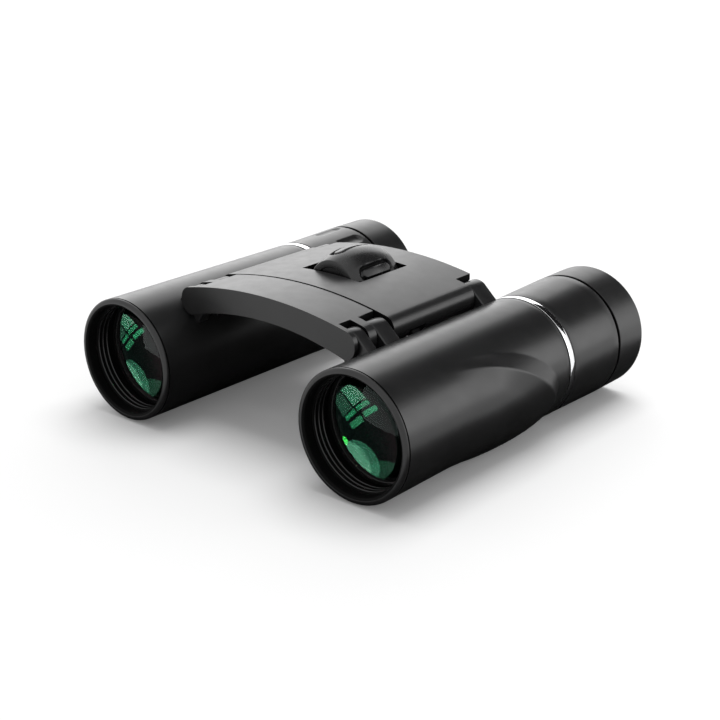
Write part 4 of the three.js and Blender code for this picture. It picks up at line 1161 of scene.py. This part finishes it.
def is_recess_floor(at, normal):
    radius = math.hypot(at.x, at.z - WHEEL_Z)
    return WHEEL_END - 1 < radius < wheel_radius(at.y) - 0.42 and abs(normal.y) < 0.5


# Painted shade: the floors of the recesses get the near-black.
refaced(roller, BRIDGE_PLACE, painted_shade_black, is_recess_floor)

# %% [markdown]
# ## Pins, screws and the bottom plate
#
# The hinge pins only show between the ears. The bottom plate closes the bridge from below and is
# held by four screws with crossed slots. A pin is the plainest turned piece.

# %% Hinge pins
pin_front, pin_rear, _ = millimetres("left_hinge_pin")
PIN_CHAMFER = 0.15
pin_neck = PIN_RADIUS - PIN_CHAMFER
pin_profile = [(0, pin_front), (pin_neck, pin_front), (PIN_RADIUS, pin_front + PIN_CHAMFER),
               (PIN_RADIUS, pin_rear - PIN_CHAMFER), (pin_neck, pin_rear), (0, pin_rear)]
for side, name in SIDES:
    pin = moved(spun(pin_profile, steps=32, closed=False), -PIN_IN, 0, PIN_UP)
    make_piece(pin, f"{name}_pin", barrel_place(side), steel, [f"{name}_hinge_pin"])

# %% [markdown]
# The bottom plate follows the arch of the bridge. A trough down its middle leaves room for the
# focusing screw, and four short posts hold the plate's screws.

# %% Bottom plate
PLATE, TROUGH, PLATE_GAP, SHAFT_ROOM = 1.2, 2.9, 0.3, 1.5
POST, POST_BORE, HEAD_BORE = 2.2, 0.9, 1.6
plate_half = CAVITY_HALF - PLATE_GAP
screw_low, screw_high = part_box("left_front_plate_screw")
SCREW_X = (screw_low.x + screw_high.x) / 2 / MM
SCREW_ROWS = [sum(millimetres(f"left_{row}_plate_screw")[:2]) / 2 for row in ("front", "rear")]
SCREW_BOTTOM, SCREW_TOP = (screw_low.z - AXIS_Z) / MM, (screw_high.z - AXIS_Z) / MM


def plate_top(x):
    return bottom_centre + math.sqrt((BOTTOM_ARC + PLATE) ** 2 - x * x)


def plate_band(y0, y1):
    lean = math.asin(plate_half / BOTTOM_ARC)
    bm = bmesh.new()
    for radius in (BOTTOM_ARC, BOTTOM_ARC + PLATE):
        draw_arc(bm, 0, bottom_centre, radius, math.pi / 2 - lean, math.pi / 2 + lean, 40)
    join_in_pairs(bm, lambda v: v.co.x)
    return extruded(bm, y0, y1)


def spine(y0, y1):
    """The trough under the focusing screw."""
    radius = TROUGH + 1
    rise = math.asin((BOTTOM_CROWN + PLATE / 2 - WHEEL_Z) / radius)
    bm = bmesh.new()
    draw_arc(bm, 0, WHEEL_Z, radius, -math.pi - rise, rise, 28)
    join_round(bm, lambda v: v.co.x)
    return extruded(bm, y0, y1)


plate_front, plate_rear = CAVITY_FRONT + PLATE_GAP, CAVITY_REAR - PLATE_GAP
nut_end = millimetres("focus_carriage")[1] + 1.55
adds = [spine(plate_front, plate_rear)]
cuts = [rod(TROUGH, plate_front - 1, nut_end, 0, WHEEL_Z),
        rod(SHAFT_ROOM, plate_front - 1, plate_rear + 1, 0, WHEEL_Z),
        box_of(-WHEEL_SLOT, WHEEL_SLOT, WHEEL_FRONT - 0.3, WHEEL_REAR + 0.3, BELOW, BEYOND)]
seat = plate_top(SCREW_X)
for side, name in SIDES:
    for y in SCREW_ROWS:
        adds.append(post(POST, seat - 0.6, seat + 0.7, side * SCREW_X, y))
        cuts.append(post(POST_BORE, 0, BEYOND, side * SCREW_X, y))
        cuts.append(post(HEAD_BORE, 0, SCREW_BOTTOM + 0.9, side * SCREW_X, y))
    cuts += ear_pocket(NOTCH_FRONT, BRIDGE_REAR, side)[:-1]
plate = carved(carved(plate_band(plate_front, plate_rear), adds, "UNION"), cuts)
softened(make_piece(plate, "under_plate", BRIDGE_PLACE, bridge_black, ["bridge_bottom_plate"]))

# %% [markdown]
# A screw is a turned head and shank. Its cross is pressed in from below with two thin blocks.

# %% Plate screws
CROSS_REACH, CROSS_HALF, CROSS_TOP = 0.85, 0.14, SCREW_BOTTOM + 0.45
head_top = SCREW_BOTTOM + 0.8
screw_profile = [(0, SCREW_BOTTOM), (1.2, SCREW_BOTTOM), (1.42, SCREW_BOTTOM + 0.12),
                 (1.5, SCREW_BOTTOM + 0.3), (1.5, head_top), (0.8, head_top),
                 (0.8, SCREW_TOP - 0.2), (0.6, SCREW_TOP), (0, SCREW_TOP)]
for side, name in SIDES:
    for row, y in zip(("front", "rear"), SCREW_ROWS):
        screw = spun(screw_profile, steps=40, closed=False)
        bmesh.ops.rotate(screw, cent=(0, 0, 0), matrix=QUARTER_TURN, verts=screw.verts)
        screw = carved(screw, [box_of(-wide, wide, -deep, deep, SCREW_BOTTOM - 1, CROSS_TOP)
                               for wide, deep in ((CROSS_REACH, CROSS_HALF),
                                                  (CROSS_HALF, CROSS_REACH))])
        make_piece(moved(screw, side * SCREW_X, y), f"{name}_{row}_screw", BRIDGE_PLACE, steel,
                   [f"{name}_{row}_plate_screw"])

# %% [markdown]
# ## Finishes for the solids that stay
#
# Deep inside, the cells, prisms, rods and bushes are simple shapes already. They keep their
# solids and only get a finish.

# %% Finish the remaining solids
def refinish(material, *nodes):
    for node in nodes:
        solid = frame["nodes"][node]
        solid.data.materials.clear()
        solid.data.materials.append(material)


for side, name in SIDES:
    refinish(flocked_black, f"{name}_objective_cell", f"{name}_prism_cage",
             f"{name}_eyepiece_housing", f"{name}_eyepiece_cell")
    refinish(clear_glass, f"{name}_entry_prism", f"{name}_roof_prism")
    refinish(steel, f"{name}_guide_rod")
refinish(steel, "focus_carriage", "focus_screw")
refinish(brass, "front_shaft_bush", "rear_shaft_bush")
shown = [n for n, o in frame["nodes"].items() if not o.hide_render]
print(f"{len(shown)} solids keep their shape: {', '.join(sorted(shown))}")
